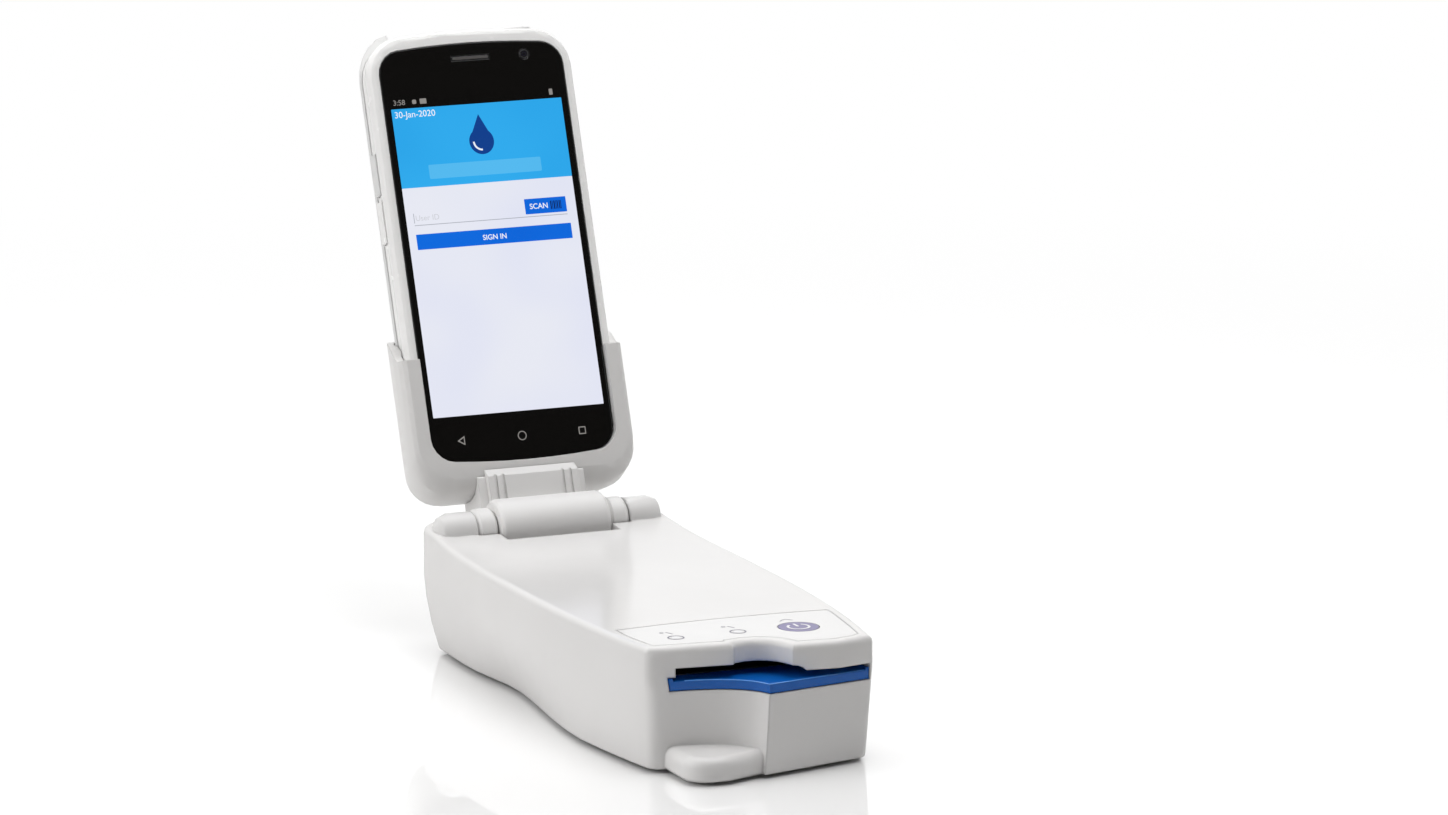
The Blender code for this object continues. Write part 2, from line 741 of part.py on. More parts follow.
def rounded_rectangle(low, high, radius, count=ARC_POINTS):
    """A rectangle with round corners, counterclockwise, as (across, up) pairs."""
    left, bottom = low
    right, top = high
    points = arc((right - radius, top - radius), radius, 0, 90, count)
    points += arc((left + radius, top - radius), radius, 90, 180, count)
    points += arc((left + radius, bottom + radius), radius, 180, 270, count)
    points += arc((right - radius, bottom + radius), radius, 270, 360, count)
    return points


def cavity_outline():
    """The room inside the reader in plan, with its flanks along the outer ones."""
    points = []
    for side, start, end in ((-1, CAVITY_FROM_REACH, CAVITY_TO_REACH), (1, CAVITY_TO_REACH, CAVITY_FROM_REACH)):
        points += [(x - side * (flank_draft(y) + SHELL_WALL), y) for x, y in flank(side, start, end)]
    return points


def base_outline(border):
    """The base plate in plan. It fits inside the shell's rim."""
    points = []
    for side, start, end in ((-1, BASE_REAR_REACH, BASE_FRONT_REACH), (1, BASE_FRONT_REACH, BASE_REAR_REACH)):
        points += [(x - side * (flank_draft(y) + border), y) for x, y in flank(side, start, end)]
    return points


def foot_places():
    return [(side * FOOT_X, forward(reach)) for reach in (FOOT_REAR_REACH, FOOT_FRONT_REACH) for side in (-1, 1)]


def screw_places():
    return [(side * SCREW_X, forward(reach)) for reach in SCREW_REACHES for side in (-1, 1)]


def shell_with_cuts():
    shell = reader_outside("upper_shell")
    boolean(shell, tongue_solid("tongue"), "UNION")
    start = BARREL_HALF_LENGTH + FIT_GAP + COLLAR_LENGTH + FIT_GAP

    def across(name, half_width, radius):
        return rod(name, (-half_width, HINGE_Y, HINGE_Z), (half_width, HINGE_Y, HINGE_Z), radius)

    knuckles = across("knuckles", KNUCKLE_END_X, KNUCKLE_RADIUS)
    boolean(shell, rounded(knuckles, KNUCKLE_CHAMFER, 2), "UNION")
    overlay = overlay_outline(OVERLAY_BORDER - FIT_GAP)
    boolean(shell, plate("overlay_recess", overlay, TOP_Z - OVERLAY_THICK - FIT_GAP, TOP_Z + OVERRUN))
    button = (BUTTON_X, forward(BUTTON_REACH))
    floor = TOP_Z - BUTTON_HEIGHT - BUTTON_TRAVEL - FIT_GAP
    boolean(shell, rod("button_well", (*button, floor), (*button, TOP_Z + OVERRUN), BUTTON_RADIUS + FIT_GAP))
    for i, x in enumerate(LIGHT_XS):
        spot = (x, forward(LIGHT_REACH))
        boolean(shell, rod("light_well_%d" % i, (*spot, TOP_Z - LIGHT_HEIGHT - FIT_GAP), (*spot, TOP_Z + OVERRUN),
                           LIGHT_RADIUS + FIT_GAP))

    pocket = BARREL_HALF_LENGTH + FIT_GAP
    rear = HINGE_Y + REAR_REACH
    above = TOP_Z + 2 * KNUCKLE_RADIUS
    boolean(shell, across("barrel_pocket", pocket, POCKET_RADIUS))
    boolean(shell, box("barrel_way", (-pocket, HINGE_Y, HINGE_Z - POCKET_RADIUS), (pocket, rear + OVERRUN, above)))
    boolean(shell, box("pocket_lip", (-pocket, forward(POCKET_LIP_REACH), TOP_Z - POCKET_LIP_DROP),
                       (pocket, HINGE_Y, above)))
    boolean(shell, across("collar_pocket", start, COLLAR_POCKET_RADIUS))
    boolean(shell, across("pin_bore", PIN_HALF_LENGTH + FIT_GAP, PIN_RADIUS + FIT_GAP))

    ledge = BASE_LOW_Z + BASE_THICK + FIT_GAP
    boolean(shell, plate("base_recess", base_outline(BASE_RIM), -OVERRUN, ledge))
    boolean(shell, plate("cavity", cavity_outline(), 0, CAVITY_TOP_Z))
    for i, (x, y) in enumerate(screw_places()):
        boolean(shell, rod("screw_bore_%d" % i, (x, y, 0), (x, y, SCREW_TOP_Z + FIT_GAP), SCREW_SHANK_RADIUS + FIT_GAP,
                           segments=20))
    boolean(shell, box("slot", (-SLOT_HALF_WIDTH, forward(BROW_LEFT_REACH), SLOT_LOW_Z),
                       (SLOT_HALF_WIDTH, forward(CAVITY_TO_REACH - OVERRUN), SLOT_HIGH_Z)))
    boolean(shell, bezel_room())

    outer = rear - INLET_SINK
    boolean(shell, rod("inlet_room", (INLET_X, outer - INLET_DEPTH - FIT_GAP, INLET_Z),
                       (INLET_X, rear + OVERRUN, INLET_Z), INLET_RADIUS + FIT_GAP))
    return as_part(shell, "shell_plastic")


def bezel_room():
    """The cut that takes the bezel. Its top is the brow's lower edge, arched over the middle of the slot."""
    low = BEZEL_LOW_Z - FIT_GAP
    left = BEZEL_LEFT_X - FIT_GAP
    right = BEZEL_RIGHT_X + FIT_GAP
    step = (MOUTH_TOP_Z - MOUTH_LEFT_Z) * MOUTH_STEP_SHARE
    span = MOUTH_RIGHT_X - MOUTH_LEFT_X
    rise = bend((MOUTH_LEFT_X, MOUTH_LEFT_Z + step), (MOUTH_LEFT_X + span * 0.14, MOUTH_TOP_Z),
                (MOUTH_LEFT_X + span * 0.3, MOUTH_TOP_Z), 5)
    fall = bend((MOUTH_RIGHT_X - span * 0.2, MOUTH_TOP_Z), (MOUTH_RIGHT_X - span * 0.05, MOUTH_TOP_Z),
                (MOUTH_RIGHT_X, MOUTH_RIGHT_Z), 4)
    outline = [(left, low), (left, MOUTH_LEFT_Z), (MOUTH_LEFT_X, MOUTH_LEFT_Z)] + rise + fall
    outline += [(right, MOUTH_RIGHT_Z), (right, low)]
    return plate("bezel_room", outline, forward(CREASE_FOOT_REACH), forward(BEZEL_REAR_REACH), "Y")


def distance_to(outline, point):
    """How far a point lies from the nearest edge of an outline."""
    here = Vector(point)
    nearest = None
    for i, corner in enumerate(outline):
        before, after = Vector(outline[i - 1]), Vector(corner)
        edge = after - before
        share = min(max((here - before).dot(edge) / edge.length_squared, 0), 1)
        away = (here - before - edge * share).length
        if nearest is None or away < nearest:
            nearest = away
    return nearest


def overlay_outline(border):
    plan = reader_plan(brow_front())
    drawn = inset(plan, [border] * len(plan))
    drawn = [point for point in drawn if distance_to(plan, point) > border * CORNER_KEEP_SHARE]
    front = [(x, y) for x, y in drawn if y < forward(OVERLAY_REAR_REACH + OVERLAY_REAR_BULGE)]
    left = (front[0][0], forward(OVERLAY_REAR_REACH) + OVERLAY_BORDER - border)
    right = (front[-1][0], left[1])
    rear = bend(right, (0, left[1] + 2 * OVERLAY_REAR_BULGE), left, 11)
    return front + rear


def build_reader():
    shell_with_cuts()
    base = plate("base_plate", base_outline(BASE_RIM + FIT_GAP), BASE_LOW_Z, BASE_LOW_Z + BASE_THICK)
    base_top = BASE_LOW_Z + BASE_THICK
    for i, reach in enumerate(POST_REACHES):
        for side in (-1, 1):
            spot = (side * POST_X, forward(reach))
            post = rod("post_%d_%d" % (i, side), (*spot, BASE_LOW_Z + BASE_THICK / 2),
                       (*spot, BOARD_Z - FIT_GAP), POST_RADIUS, segments=20)
            boolean(base, post, "UNION")
    for i, (x, y) in enumerate(foot_places()):
        top = BASE_LOW_Z + FOOT_SINK
        boolean(base, rod("foot_room_%d" % i, (x, y, -OVERRUN), (x, y, top), FOOT_RADIUS + FIT_GAP))
        foot = rod("rubber_foot_%d" % (i + 1), (x, y, 0), (x, y, top - FIT_GAP), FOOT_RADIUS - FIT_GAP,
                   end_radius=FOOT_RADIUS)
        as_part(foot, "rubber")
    for i, (x, y) in enumerate(screw_places()):
        top = BASE_LOW_Z + SCREW_SINK
        boolean(base, rod("screw_room_%d" % i, (x, y, -OVERRUN), (x, y, top), SCREW_RADIUS + FIT_GAP, segments=24))
        boolean(base, rod("screw_way_%d" % i, (x, y, 0), (x, y, base_top + OVERRUN), SCREW_SHANK_RADIUS + FIT_GAP,
                          segments=20))
        head_low = top - FIT_GAP - SCREW_HEAD
        screw = rod("base_screw_%d" % (i + 1), (x, y, head_low), (x, y, top - FIT_GAP), SCREW_RADIUS, segments=24)
        shank = rod("screw_shank_%d" % i, (x, y, head_low + SCREW_HEAD / 2), (x, y, SCREW_TOP_Z), SCREW_SHANK_RADIUS,
                    segments=16)
        as_part(boolean(screw, shank, "UNION"), "steel")

    wide = PACK_HALF_WIDTH + PACK_ROOM
    near = forward(PACK_REAR_REACH) + PACK_ROOM
    far = forward(PACK_FRONT_REACH) - PACK_ROOM
    boolean(base, box("pack_way", (-wide, far, -OVERRUN), (wide, near, base_top + OVERRUN / 2)))
    brim = DOOR_BORDER
    corner = 2 * DOOR_BORDER
    door_top = BASE_LOW_Z + DOOR_THICK
    brim_outline = rounded_rectangle((-wide - brim, far - brim), (wide + brim, near + brim), corner)
    boolean(base, plate("door_room", brim_outline, -OVERRUN, door_top + FIT_GAP))
    as_part(base, "base_plastic")
    brim -= FIT_GAP
    door_outline = rounded_rectangle((-wide - brim, far - brim), (wide + brim, near + brim), corner)
    as_part(rounded(plate("battery_cover", door_outline, BASE_LOW_Z, door_top), FIT_GAP), "base_plastic")
    pack_low = door_top + FIT_GAP
    pack = box("battery_pack", (-PACK_HALF_WIDTH, forward(PACK_FRONT_REACH), pack_low),
               (PACK_HALF_WIDTH, forward(PACK_REAR_REACH), pack_low + PACK_HEIGHT))
    as_part(rounded(pack, 2 * EDGE_ROUND), "cell_wrap")

    board = box("main_board", (-BOARD_HALF_WIDTH, forward(BOARD_FRONT_REACH), BOARD_Z),
                (BOARD_HALF_WIDTH, forward(BOARD_REAR_REACH), BOARD_Z + BOARD_THICK))
    length = BOARD_FRONT_REACH - BOARD_REAR_REACH
    for i, (across, along, wide_share, long_share) in enumerate(CHIP_SHARES):
        x = across * BOARD_HALF_WIDTH
        y = forward(BOARD_REAR_REACH + along * length)
        reach_x = wide_share * BOARD_HALF_WIDTH / 2
        reach_y = long_share * length / 2
        chip = box("chip_%d" % i, (x - reach_x, y - reach_y, BOARD_Z + BOARD_THICK / 2),
                   (x + reach_x, y + reach_y, BOARD_Z + BOARD_THICK + CHIP_HEIGHT))
        boolean(board, chip, "UNION")
    as_part(board, "board_green")
    build_card_path()
    build_front()
    build_inlet()


def build_card_path():
    floor_low = SLOT_LOW_Z - GUIDE_FLOOR
    rear = forward(CARD_REACH_IN) + GUIDE_STOP
    guide = box("card_guide", (-GUIDE_HALF_WIDTH, forward(CAVITY_TO_REACH - FIT_GAP), floor_low),
                (GUIDE_HALF_WIDTH, rear, SLOT_HIGH_Z))
    boolean(guide, box("card_way", (-SLOT_HALF_WIDTH, forward(CORNER_REACH), SLOT_LOW_Z),
                       (SLOT_HALF_WIDTH, rear - GUIDE_STOP, SLOT_HIGH_Z + OVERRUN)))
    for i, reach in enumerate(GUIDE_LEG_REACHES):
        for side in (-1, 1):
            spot = (side * GUIDE_LEG_X, forward(reach))
            leg = rod("leg_%d_%d" % (i, side), (*spot, BOARD_Z + BOARD_THICK + FIT_GAP),
                      (*spot, floor_low + GUIDE_FLOOR / 2), GUIDE_LEG_RADIUS, segments=20)
            boolean(guide, leg, "UNION")
    heater_low = (-HEATER_HALF_WIDTH, forward(HEATER_TO_REACH), SLOT_LOW_Z - HEATER_THICK)
    heater_high = (HEATER_HALF_WIDTH, forward(HEATER_FROM_REACH), SLOT_LOW_Z - FIT_GAP)
    room_low = [value - FIT_GAP for value in heater_low]
    room_high = (heater_high[0] + FIT_GAP, heater_high[1] + FIT_GAP, SLOT_LOW_Z + OVERRUN)
    boolean(guide, box("heater_room", room_low, room_high))
    as_part(guide, "dark_plastic")
    as_part(box("heater_plate", heater_low, heater_high), "aluminium")

    block_low = SLOT_HIGH_Z + FIT_GAP
    block = box("contact_block", (-GUIDE_HALF_WIDTH, forward(CONTACT_TO_REACH), block_low),
                (GUIDE_HALF_WIDTH, forward(CONTACT_FROM_REACH), block_low + CONTACT_HEIGHT))
    middle = forward((CONTACT_FROM_REACH + CONTACT_TO_REACH) / 2)
    reach = CONTACT_PIN_COUNT * CONTACT_PIN_PITCH / 2
    half = CONTACT_STRIP_WIDTH / 2
    strip_low = block_low + CONTACT_HEIGHT - CONTACT_STRIP_HEIGHT
    boolean(block, box("strip_room", (-reach - FIT_GAP, middle - half - FIT_GAP, strip_low - FIT_GAP),
                       (reach + FIT_GAP, middle + half + FIT_GAP, block_low + CONTACT_HEIGHT + OVERRUN)))
    strip = box("contact_strip", (-reach, middle - half, strip_low),
                (reach, middle + half, block_low + CONTACT_HEIGHT))
    for i in range(CONTACT_PIN_COUNT):
        x = (i - (CONTACT_PIN_COUNT - 1) / 2) * CONTACT_PIN_PITCH
        boolean(block, rod("pin_room_%d" % i, (x, middle, block_low - OVERRUN), (x, middle, strip_low),
                           CONTACT_PIN_RADIUS + FIT_GAP, segments=12))
        pin = rod("contact_pin_%d" % i, (x, middle, block_low - CONTACT_PIN_DROP),
                  (x, middle, strip_low + CONTACT_STRIP_HEIGHT / 2), CONTACT_PIN_RADIUS, segments=10)
        boolean(strip, pin, "UNION")
    as_part(block, "dark_plastic")
    as_part(strip, "brass")


def build_front():
    """The slot's bezel, the overlay, the power button and the status lights."""
    front = forward(CREASE_FOOT_REACH)
    bezel = box("slot_bezel", (BEZEL_LEFT_X, front, BEZEL_LOW_Z),
                (BEZEL_RIGHT_X, forward(BEZEL_REAR_REACH) - FIT_GAP, BEZEL_HIGH_Z))
    for x in (BEZEL_LEFT_X, BEZEL_RIGHT_X - BEZEL_END_WALL):
        wall = box("bezel_end_%d" % (x > 0), (x, front, BEZEL_LOW_Z),
                   (x + BEZEL_END_WALL, forward(BEZEL_REAR_REACH) - FIT_GAP, BEZEL_END_TOP_Z))
        boolean(bezel, wall, "UNION")
    plan = reader_plan(lower_front())
    face = inset(plan, [BEZEL_INSET] * len(plan))
    boolean(bezel, plate("bezel_face", face, 0, TOP_Z), "INTERSECT")
    as_part(rounded(bezel, EDGE_ROUND / 2, angle=math.radians(60)), "bezel_blue")

    overlay = plate("control_overlay", overlay_outline(OVERLAY_BORDER), TOP_Z - OVERLAY_THICK, TOP_Z)
    button = (BUTTON_X, forward(BUTTON_REACH))
    boolean(overlay, rod("overlay_hole", (*button, 0), (*button, TOP_Z + OVERRUN), BUTTON_RADIUS + FIT_GAP))
    for i, x in enumerate(LIGHT_XS):
        spot = (x, forward(LIGHT_REACH))
        boolean(overlay, rod("overlay_light_%d" % i, (*spot, 0), (*spot, TOP_Z + OVERRUN), LIGHT_RADIUS + FIT_GAP))
        light = rod("status_light_%d" % (i + 1), (*spot, TOP_Z - LIGHT_HEIGHT), (*spot, TOP_Z), LIGHT_RADIUS,
                    segments=20)
        as_part(light, "light_pipe")
    as_part(overlay, "overlay_film")
    low = (*button, TOP_Z - BUTTON_HEIGHT)
    as_part(rod("power_button", low, (*button, TOP_Z), BUTTON_RADIUS, segments=40, origin=low), "button_violet")


def build_inlet():
    outer = HINGE_Y + REAR_REACH - INLET_SINK
    inner = outer - INLET_DEPTH
    inlet = rod("charger_inlet", (INLET_X, inner, INLET_Z), (INLET_X, outer, INLET_Z), INLET_RADIUS)
    boolean(inlet, rod("inlet_bore", (INLET_X, inner + INLET_FLOOR, INLET_Z), (INLET_X, outer + OVERRUN, INLET_Z),
                       INLET_BORE))
    boolean(inlet, rod("inlet_pin", (INLET_X, inner + INLET_FLOOR / 2, INLET_Z), (INLET_X, outer - INLET_FLOOR, INLET_Z),
                       INLET_PIN_RADIUS, segments=16), "UNION")
    as_part(inlet, "dark_plastic")


def build_hinge():
    """The pin and the two collars. They stay with the reader."""
    start = BARREL_HALF_LENGTH + FIT_GAP
    end = start + COLLAR_LENGTH
    edge = COLLAR_END_ROUND
    place = (0, HINGE_Y, HINGE_Z)
    right = [(end, 0), (end, COLLAR_RADIUS - edge), (end - edge, COLLAR_RADIUS), (start + edge, COLLAR_RADIUS),
             (start, COLLAR_RADIUS - edge), (start, 0)]
    left = [(-along, radius) for along, radius in reversed(right)]
    for name, profile in (("collar_right", right), ("collar_left", left)):
        collar = turned_x(name, profile, place=place)
        boolean(collar, rod(name + "_bore", (-end - OVERRUN, HINGE_Y, HINGE_Z), (end + OVERRUN, HINGE_Y, HINGE_Z),
                            PIN_RADIUS + FIT_GAP))
        as_part(collar, "cradle_plastic")
    pin = rod("hinge_pin", (-PIN_HALF_LENGTH, HINGE_Y, HINGE_Z), (PIN_HALF_LENGTH, HINGE_Y, HINGE_Z), PIN_RADIUS)
    as_part(pin, "steel")


def leaning_axis():
    """The hinge axis of everything that tilts, leaned back as the product stands."""
    axis = bpy.data.objects.new("tilt_axis", None)
    axis.location = (0, HINGE_Y, HINGE_Z)
    axis.rotation_euler = (-LEAN, 0, 0)
    PARTS.objects.link(axis)
    return axis


def bowed(outline, low, high, half_width, bow):
    """Bows the ends of an upright outline outwards, most in the middle."""
    middle = (low + high) / 2
    points = []
    for x, up in outline:
        reach = bow * (1 - min(abs(x) / half_width, 1) ** 2)
        sign = 1 if up > middle else -1
        share = min(abs(up - middle) / (high - middle), 1) ** 8
        points.append((x, up + sign * reach * share))
    return points


def upright_outline(half_width, low, high, corner, bow, swell=None):
    """A tall outline with round corners and bowed ends.

    With a swell, its upper corners stand up by that much and end in a step.
    """
    bottom = low + bow
    top = high - bow
    ends = 7
    r = corner
    w = half_width
    points = arc((w - r, top - r), r, 0, 90)
    if swell is not None:
        points.append((w - r - BUMPER_STEP, top))
    points += straight((w - r, top), (r - w, top), ends)[1:-1]
    if swell is not None:
        points.append((r - w + BUMPER_STEP, top))
    points += arc((r - w, top - r), r, 90, 180)
    if swell:
        points = [(x, up + swell * max(up - top + r, 0) / r if abs(x) > w - r - BUMPER_STEP / 2 else up)
                  for x, up in points]
    points += arc((r - w, bottom + r), r, 180, 270)
    points += straight((r - w, bottom), (w - r, bottom), ends)[1:-1]
    points += arc((w - r, bottom + r), r, 270, 360)
    return bowed(points, low, high, w, bow)


def host_rings(shares, outset=0, swells=None):
    rings = []
    for i, (depth_share, draw_share) in enumerate(shares):
        depth = GLASS_DEPTH + HOST_THICK * depth_share
        drawn = HOST_DRAW * draw_share - outset
        swell = swells[i] * BUMPER_SWELL if swells else None
        outline = upright_outline(HOST_HALF_WIDTH - drawn, HOST_LOW + drawn, HOST_LOW + HOST_LENGTH - drawn,
                                  HOST_CORNER - drawn / 2, HOST_ARCH, swell)
        rings.append([(x, depth, up) for x, up in outline])
    return rings


def shifted(ring, depth):
    return [(x, y + depth, up) for x, y, up in ring]


def glass_outline(outset):
    return upright_outline(GLASS_HALF_WIDTH + outset, GLASS_LOW - outset, GLASS_HIGH + outset,
                           GLASS_CORNER + outset, GLASS_ARCH)


def cradle_loft(name, outset, parent):
    rings = []
    deep = CRADLE_BACK - CRADLE_FRONT
    last = len(CRADLE_RING_SHARES) - 1
    for i, (depth_share, draw_share, rise_share) in enumerate(CRADLE_RING_SHARES):
        depth = CRADLE_FRONT + deep * depth_share
        depth += outset * ((i == last) - (i == 0))
        half_width = CRADLE_HALF_WIDTH - CRADLE_DRAW * draw_share + outset
        low = CRADLE_LOW + CRADLE_RISE * rise_share - outset
        corner = CRADLE_CORNER - CRADLE_DRAW * draw_share / 2
        outline = rounded_rectangle((-half_width, low), (half_width, CRADLE_RAW_TOP), corner, 8)
        rings.append([(x, depth, up) for x, up in outline])
    return loft(name, rings, parent)


def build_cradle(axis):
    cradle = cradle_loft("cradle_shell", 0, axis)
    host_room = host_rings(FRAME_RING_SHARES + REAR_RING_SHARES, HOST_CLEARANCE)
    host_room[0] = shifted(host_room[0], -HOST_CLEARANCE)
    host_room[-1] = shifted(host_room[-1], HOST_CLEARANCE)
    boolean(cradle, loft("host_room", host_room, axis))
    window = glass_outline(FIT_GAP)
    boolean(cradle, plate("glass_window", window, CRADLE_FRONT - OVERRUN, GLASS_DEPTH + GLASS_THICK, "Y", axis))
    front = CRADLE_FRONT - OVERRUN
    back = CRADLE_BACK + OVERRUN
    turn = GLASS_DEPTH + GLASS_THICK
    deep = CRADLE_BACK - CRADLE_FRONT
    side = (turn + deep * 0.25, CRADLE_SIDE_TOP)
    edge = [(front, CRADLE_FRONT_TOP), (turn, CRADLE_FRONT_TOP)]
    edge += bend(edge[-1], (turn + deep * 0.12, CRADLE_FRONT_TOP), side, 5)[1:]
    edge += bend(side, (turn + deep * 0.5, CRADLE_BACK_TOP), (back, CRADLE_BACK_TOP), 6)[1:]
    over = CRADLE_RAW_TOP + OVERRUN
    edge += [(back, over), (front, over)]
    wide = CRADLE_HALF_WIDTH + OVERRUN
    boolean(cradle, plate("cradle_top", edge, -wide, wide, "X", axis))

    plug_back = GLASS_DEPTH + HOST_THICK / 2
    plug_front = plug_back - PLUG_DEPTH
    seat = HOST_LOW - HOST_CLEARANCE
    plug_low = seat - PLUG_HEIGHT
    boolean(cradle, box("plug_room", (-PLUG_HALF_WIDTH - FIT_GAP, plug_front - FIT_GAP, plug_low - FIT_GAP),
                        (PLUG_HALF_WIDTH + FIT_GAP, plug_back + FIT_GAP, seat + OVERRUN), axis))
    plug = box("dock_plug", (-PLUG_HALF_WIDTH, plug_front, plug_low), (PLUG_HALF_WIDTH, plug_back, seat), axis)
    inner = PLUG_DEPTH / 5
    tip = box("plug_tip", (-PLUG_TIP_HALF_WIDTH, plug_front + inner, seat - FIT_GAP),
              (PLUG_TIP_HALF_WIDTH, plug_back - inner, seat + PLUG_HEIGHT), axis)
    as_part(boolean(plug, tip, "UNION"), "dark_plastic")

    for name, side_sign in (("cradle_screw_left", -1), ("cradle_screw_right", 1)):
        x = side_sign * CRADLE_SCREW_X
        floor = CRADLE_BACK - CRADLE_SCREW_SINK
        spot = (x, floor, CRADLE_SCREW_HIGH)
        boolean(cradle, rod(name + "_room", spot, (x, back, CRADLE_SCREW_HIGH),
                            CRADLE_SCREW_RADIUS + FIT_GAP, axis, segments=24))
        screw = rod(name, (x, floor + FIT_GAP, CRADLE_SCREW_HIGH), (x, CRADLE_BACK - FIT_GAP, CRADLE_SCREW_HIGH),
                    CRADLE_SCREW_RADIUS, axis, segments=24)
        as_part(screw, "steel")
    as_part(cradle, "cradle_plastic")
    build_arm(axis)


def build_arm(axis):
    """The barrel, the arm that carries the cradle and the connector block in front of it."""
    half = BARREL_HALF_LENGTH
    edge = BARREL_END_ROUND
    end = arc((half - edge, BARREL_RADIUS - edge), edge, 0, 90, 4)
    profile = [(half, 0)] + end + [(-along, radius) for along, radius in reversed(end)] + [(-half, 0)]
    arm = turned_x("hinge_arm", profile, axis)
    inside = BARREL_RADIUS / 5
    heel_start = (BARREL_RADIUS * 0.6, -BARREL_RADIUS * 0.75)
    side_view = [(0, 0), heel_start, (ARM_BACK, ARM_HEEL), (ARM_BACK, ARM_TOP), (CRADLE_FRONT, CRADLE_LOW + CRADLE_RISE),
                 (ARM_FRONT, BLOCK_SHOULDER), (ARM_FRONT, inside)]
    boolean(arm, plate("arm_block", side_view, -ARM_HALF_WIDTH, ARM_HALF_WIDTH, "X", axis), "UNION")
    deep = CRADLE_FRONT + inside
    front_view = [(inside, 0), (deep, 0), (deep, BLOCK_TOP), (GLASS_DEPTH, BLOCK_TOP), (BLOCK_FRONT, BLOCK_SHOULDER),
                  (BLOCK_FRONT, inside)]
    boolean(arm, plate("front_block", front_view, -BLOCK_HALF_WIDTH, BLOCK_HALF_WIDTH, "X", axis), "UNION")
    boolean(arm, cradle_loft("cradle_room", FIT_GAP, axis))
    for i, x in enumerate(GROOVE_XS):
        for side in (-1, 1):
            low = (side * x - GROOVE_WIDTH / 2, BLOCK_FRONT - OVERRUN, BARREL_RADIUS * 0.6)
            high = (side * x + GROOVE_WIDTH / 2, BLOCK_FRONT + GROOVE_DEPTH, BLOCK_SHOULDER + OVERRUN)
            boolean(arm, box("groove_%d_%d" % (i, side), low, high, axis))
    reach = half + OVERRUN
    boolean(arm, rod("barrel_bore", (-reach, 0, 0), (reach, 0, 0), INSERT_RADIUS + FIT_GAP, axis))
    as_part(arm, "cradle_plastic")
    for name, side in (("friction_insert_right", 1), ("friction_insert_left", -1)):
        outer = side * (half - FIT_GAP)
        inner = outer - side * INSERT_LENGTH
        insert = rod(name, (inner, 0, 0), (outer, 0, 0), INSERT_RADIUS, axis)
        boolean(insert, rod(name + "_bore", (-reach, 0, 0), (reach, 0, 0), PIN_RADIUS + FIT_GAP, axis))
        as_part(insert, "steel")


def build_host(axis):
    frame = loft("host_frame", host_rings(FRAME_RING_SHARES), axis)
    glass_floor = GLASS_DEPTH + GLASS_THICK + FIT_GAP
    display_floor = glass_floor + DISPLAY_THICK + FIT_GAP
    web_back = display_floor + WEB_THICK
    frame_back = GLASS_DEPTH + HOST_THICK * FRAME_RING_SHARES[-1][0]
    boolean(frame, plate("glass_room", glass_outline(FIT_GAP), GLASS_DEPTH - OVERRUN, glass_floor, "Y", axis))
    wide = DISPLAY_HALF_WIDTH + FIT_GAP
    high = DISPLAY_LOW + DISPLAY_LENGTH
    boolean(frame, box("display_room", (-wide, GLASS_DEPTH, DISPLAY_LOW - FIT_GAP),
                       (wide, display_floor, high + FIT_GAP), axis))
    wall = HOST_INNER_WALL
    room = upright_outline(HOST_HALF_WIDTH - wall, HOST_LOW + wall + HOST_ARCH, HOST_LOW + HOST_LENGTH - wall,
                           HOST_CORNER - wall, HOST_ARCH)
    boolean(frame, plate("host_inner_room", room, web_back, frame_back + OVERRUN, "Y", axis))
    port_wide = PLUG_TIP_HALF_WIDTH + FIT_GAP
    port_back = GLASS_DEPTH + HOST_THICK / 2
    inner = PLUG_DEPTH / 5 - FIT_GAP
    boolean(frame, box("port", (-port_wide, port_back - PLUG_DEPTH + inner, HOST_LOW - OVERRUN),
                       (port_wide, port_back - inner, HOST_LOW + PLUG_HEIGHT + FIT_GAP), axis))

    build_side_keys(frame, axis)
    as_part(frame, "host_white")

    glass = plate("front_glass", glass_outline(0), GLASS_DEPTH, GLASS_DEPTH + GLASS_THICK, "Y", axis)
    slot = (EARPIECE_HALF_WIDTH, EARPIECE_HALF_HEIGHT)
    grown = [value + FIT_GAP for value in slot]
    front = GLASS_DEPTH - OVERRUN
    behind = GLASS_DEPTH + OVERRUN
    boolean(glass, box("earpiece_way", (-grown[0], front, EARPIECE_HIGH - grown[1]),
                       (grown[0], behind, EARPIECE_HIGH + grown[1]), axis))
    boolean(glass, rod("lens_way", (LENS_X, front, EARPIECE_HIGH), (LENS_X, behind, EARPIECE_HIGH),
                       LENS_RADIUS + FIT_GAP, axis, segments=24))
    as_part(glass, "glass_black")
    as_part(box("earpiece_grille", (-slot[0], GLASS_DEPTH, EARPIECE_HIGH - slot[1]),
                (slot[0], GLASS_DEPTH + GLASS_THICK, EARPIECE_HIGH + slot[1]), axis), "dark_plastic")
    as_part(rod("front_camera", (LENS_X, GLASS_DEPTH, EARPIECE_HIGH), (LENS_X, GLASS_DEPTH + GLASS_THICK, EARPIECE_HIGH),
                LENS_RADIUS, axis, segments=24), "glass_black")
    as_part(box("display_panel", (-DISPLAY_HALF_WIDTH, glass_floor, DISPLAY_LOW),
                (DISPLAY_HALF_WIDTH, display_floor - FIT_GAP, high), axis), "display")
    board_front = web_back + FIT_GAP
    as_part(box("host_board", (-HOST_BOARD_HALF_WIDTH, board_front, HOST_BOARD_LOW),
                (HOST_BOARD_HALF_WIDTH, board_front + HOST_BOARD_THICK, high), axis), "board_green")
    build_host_back(axis)


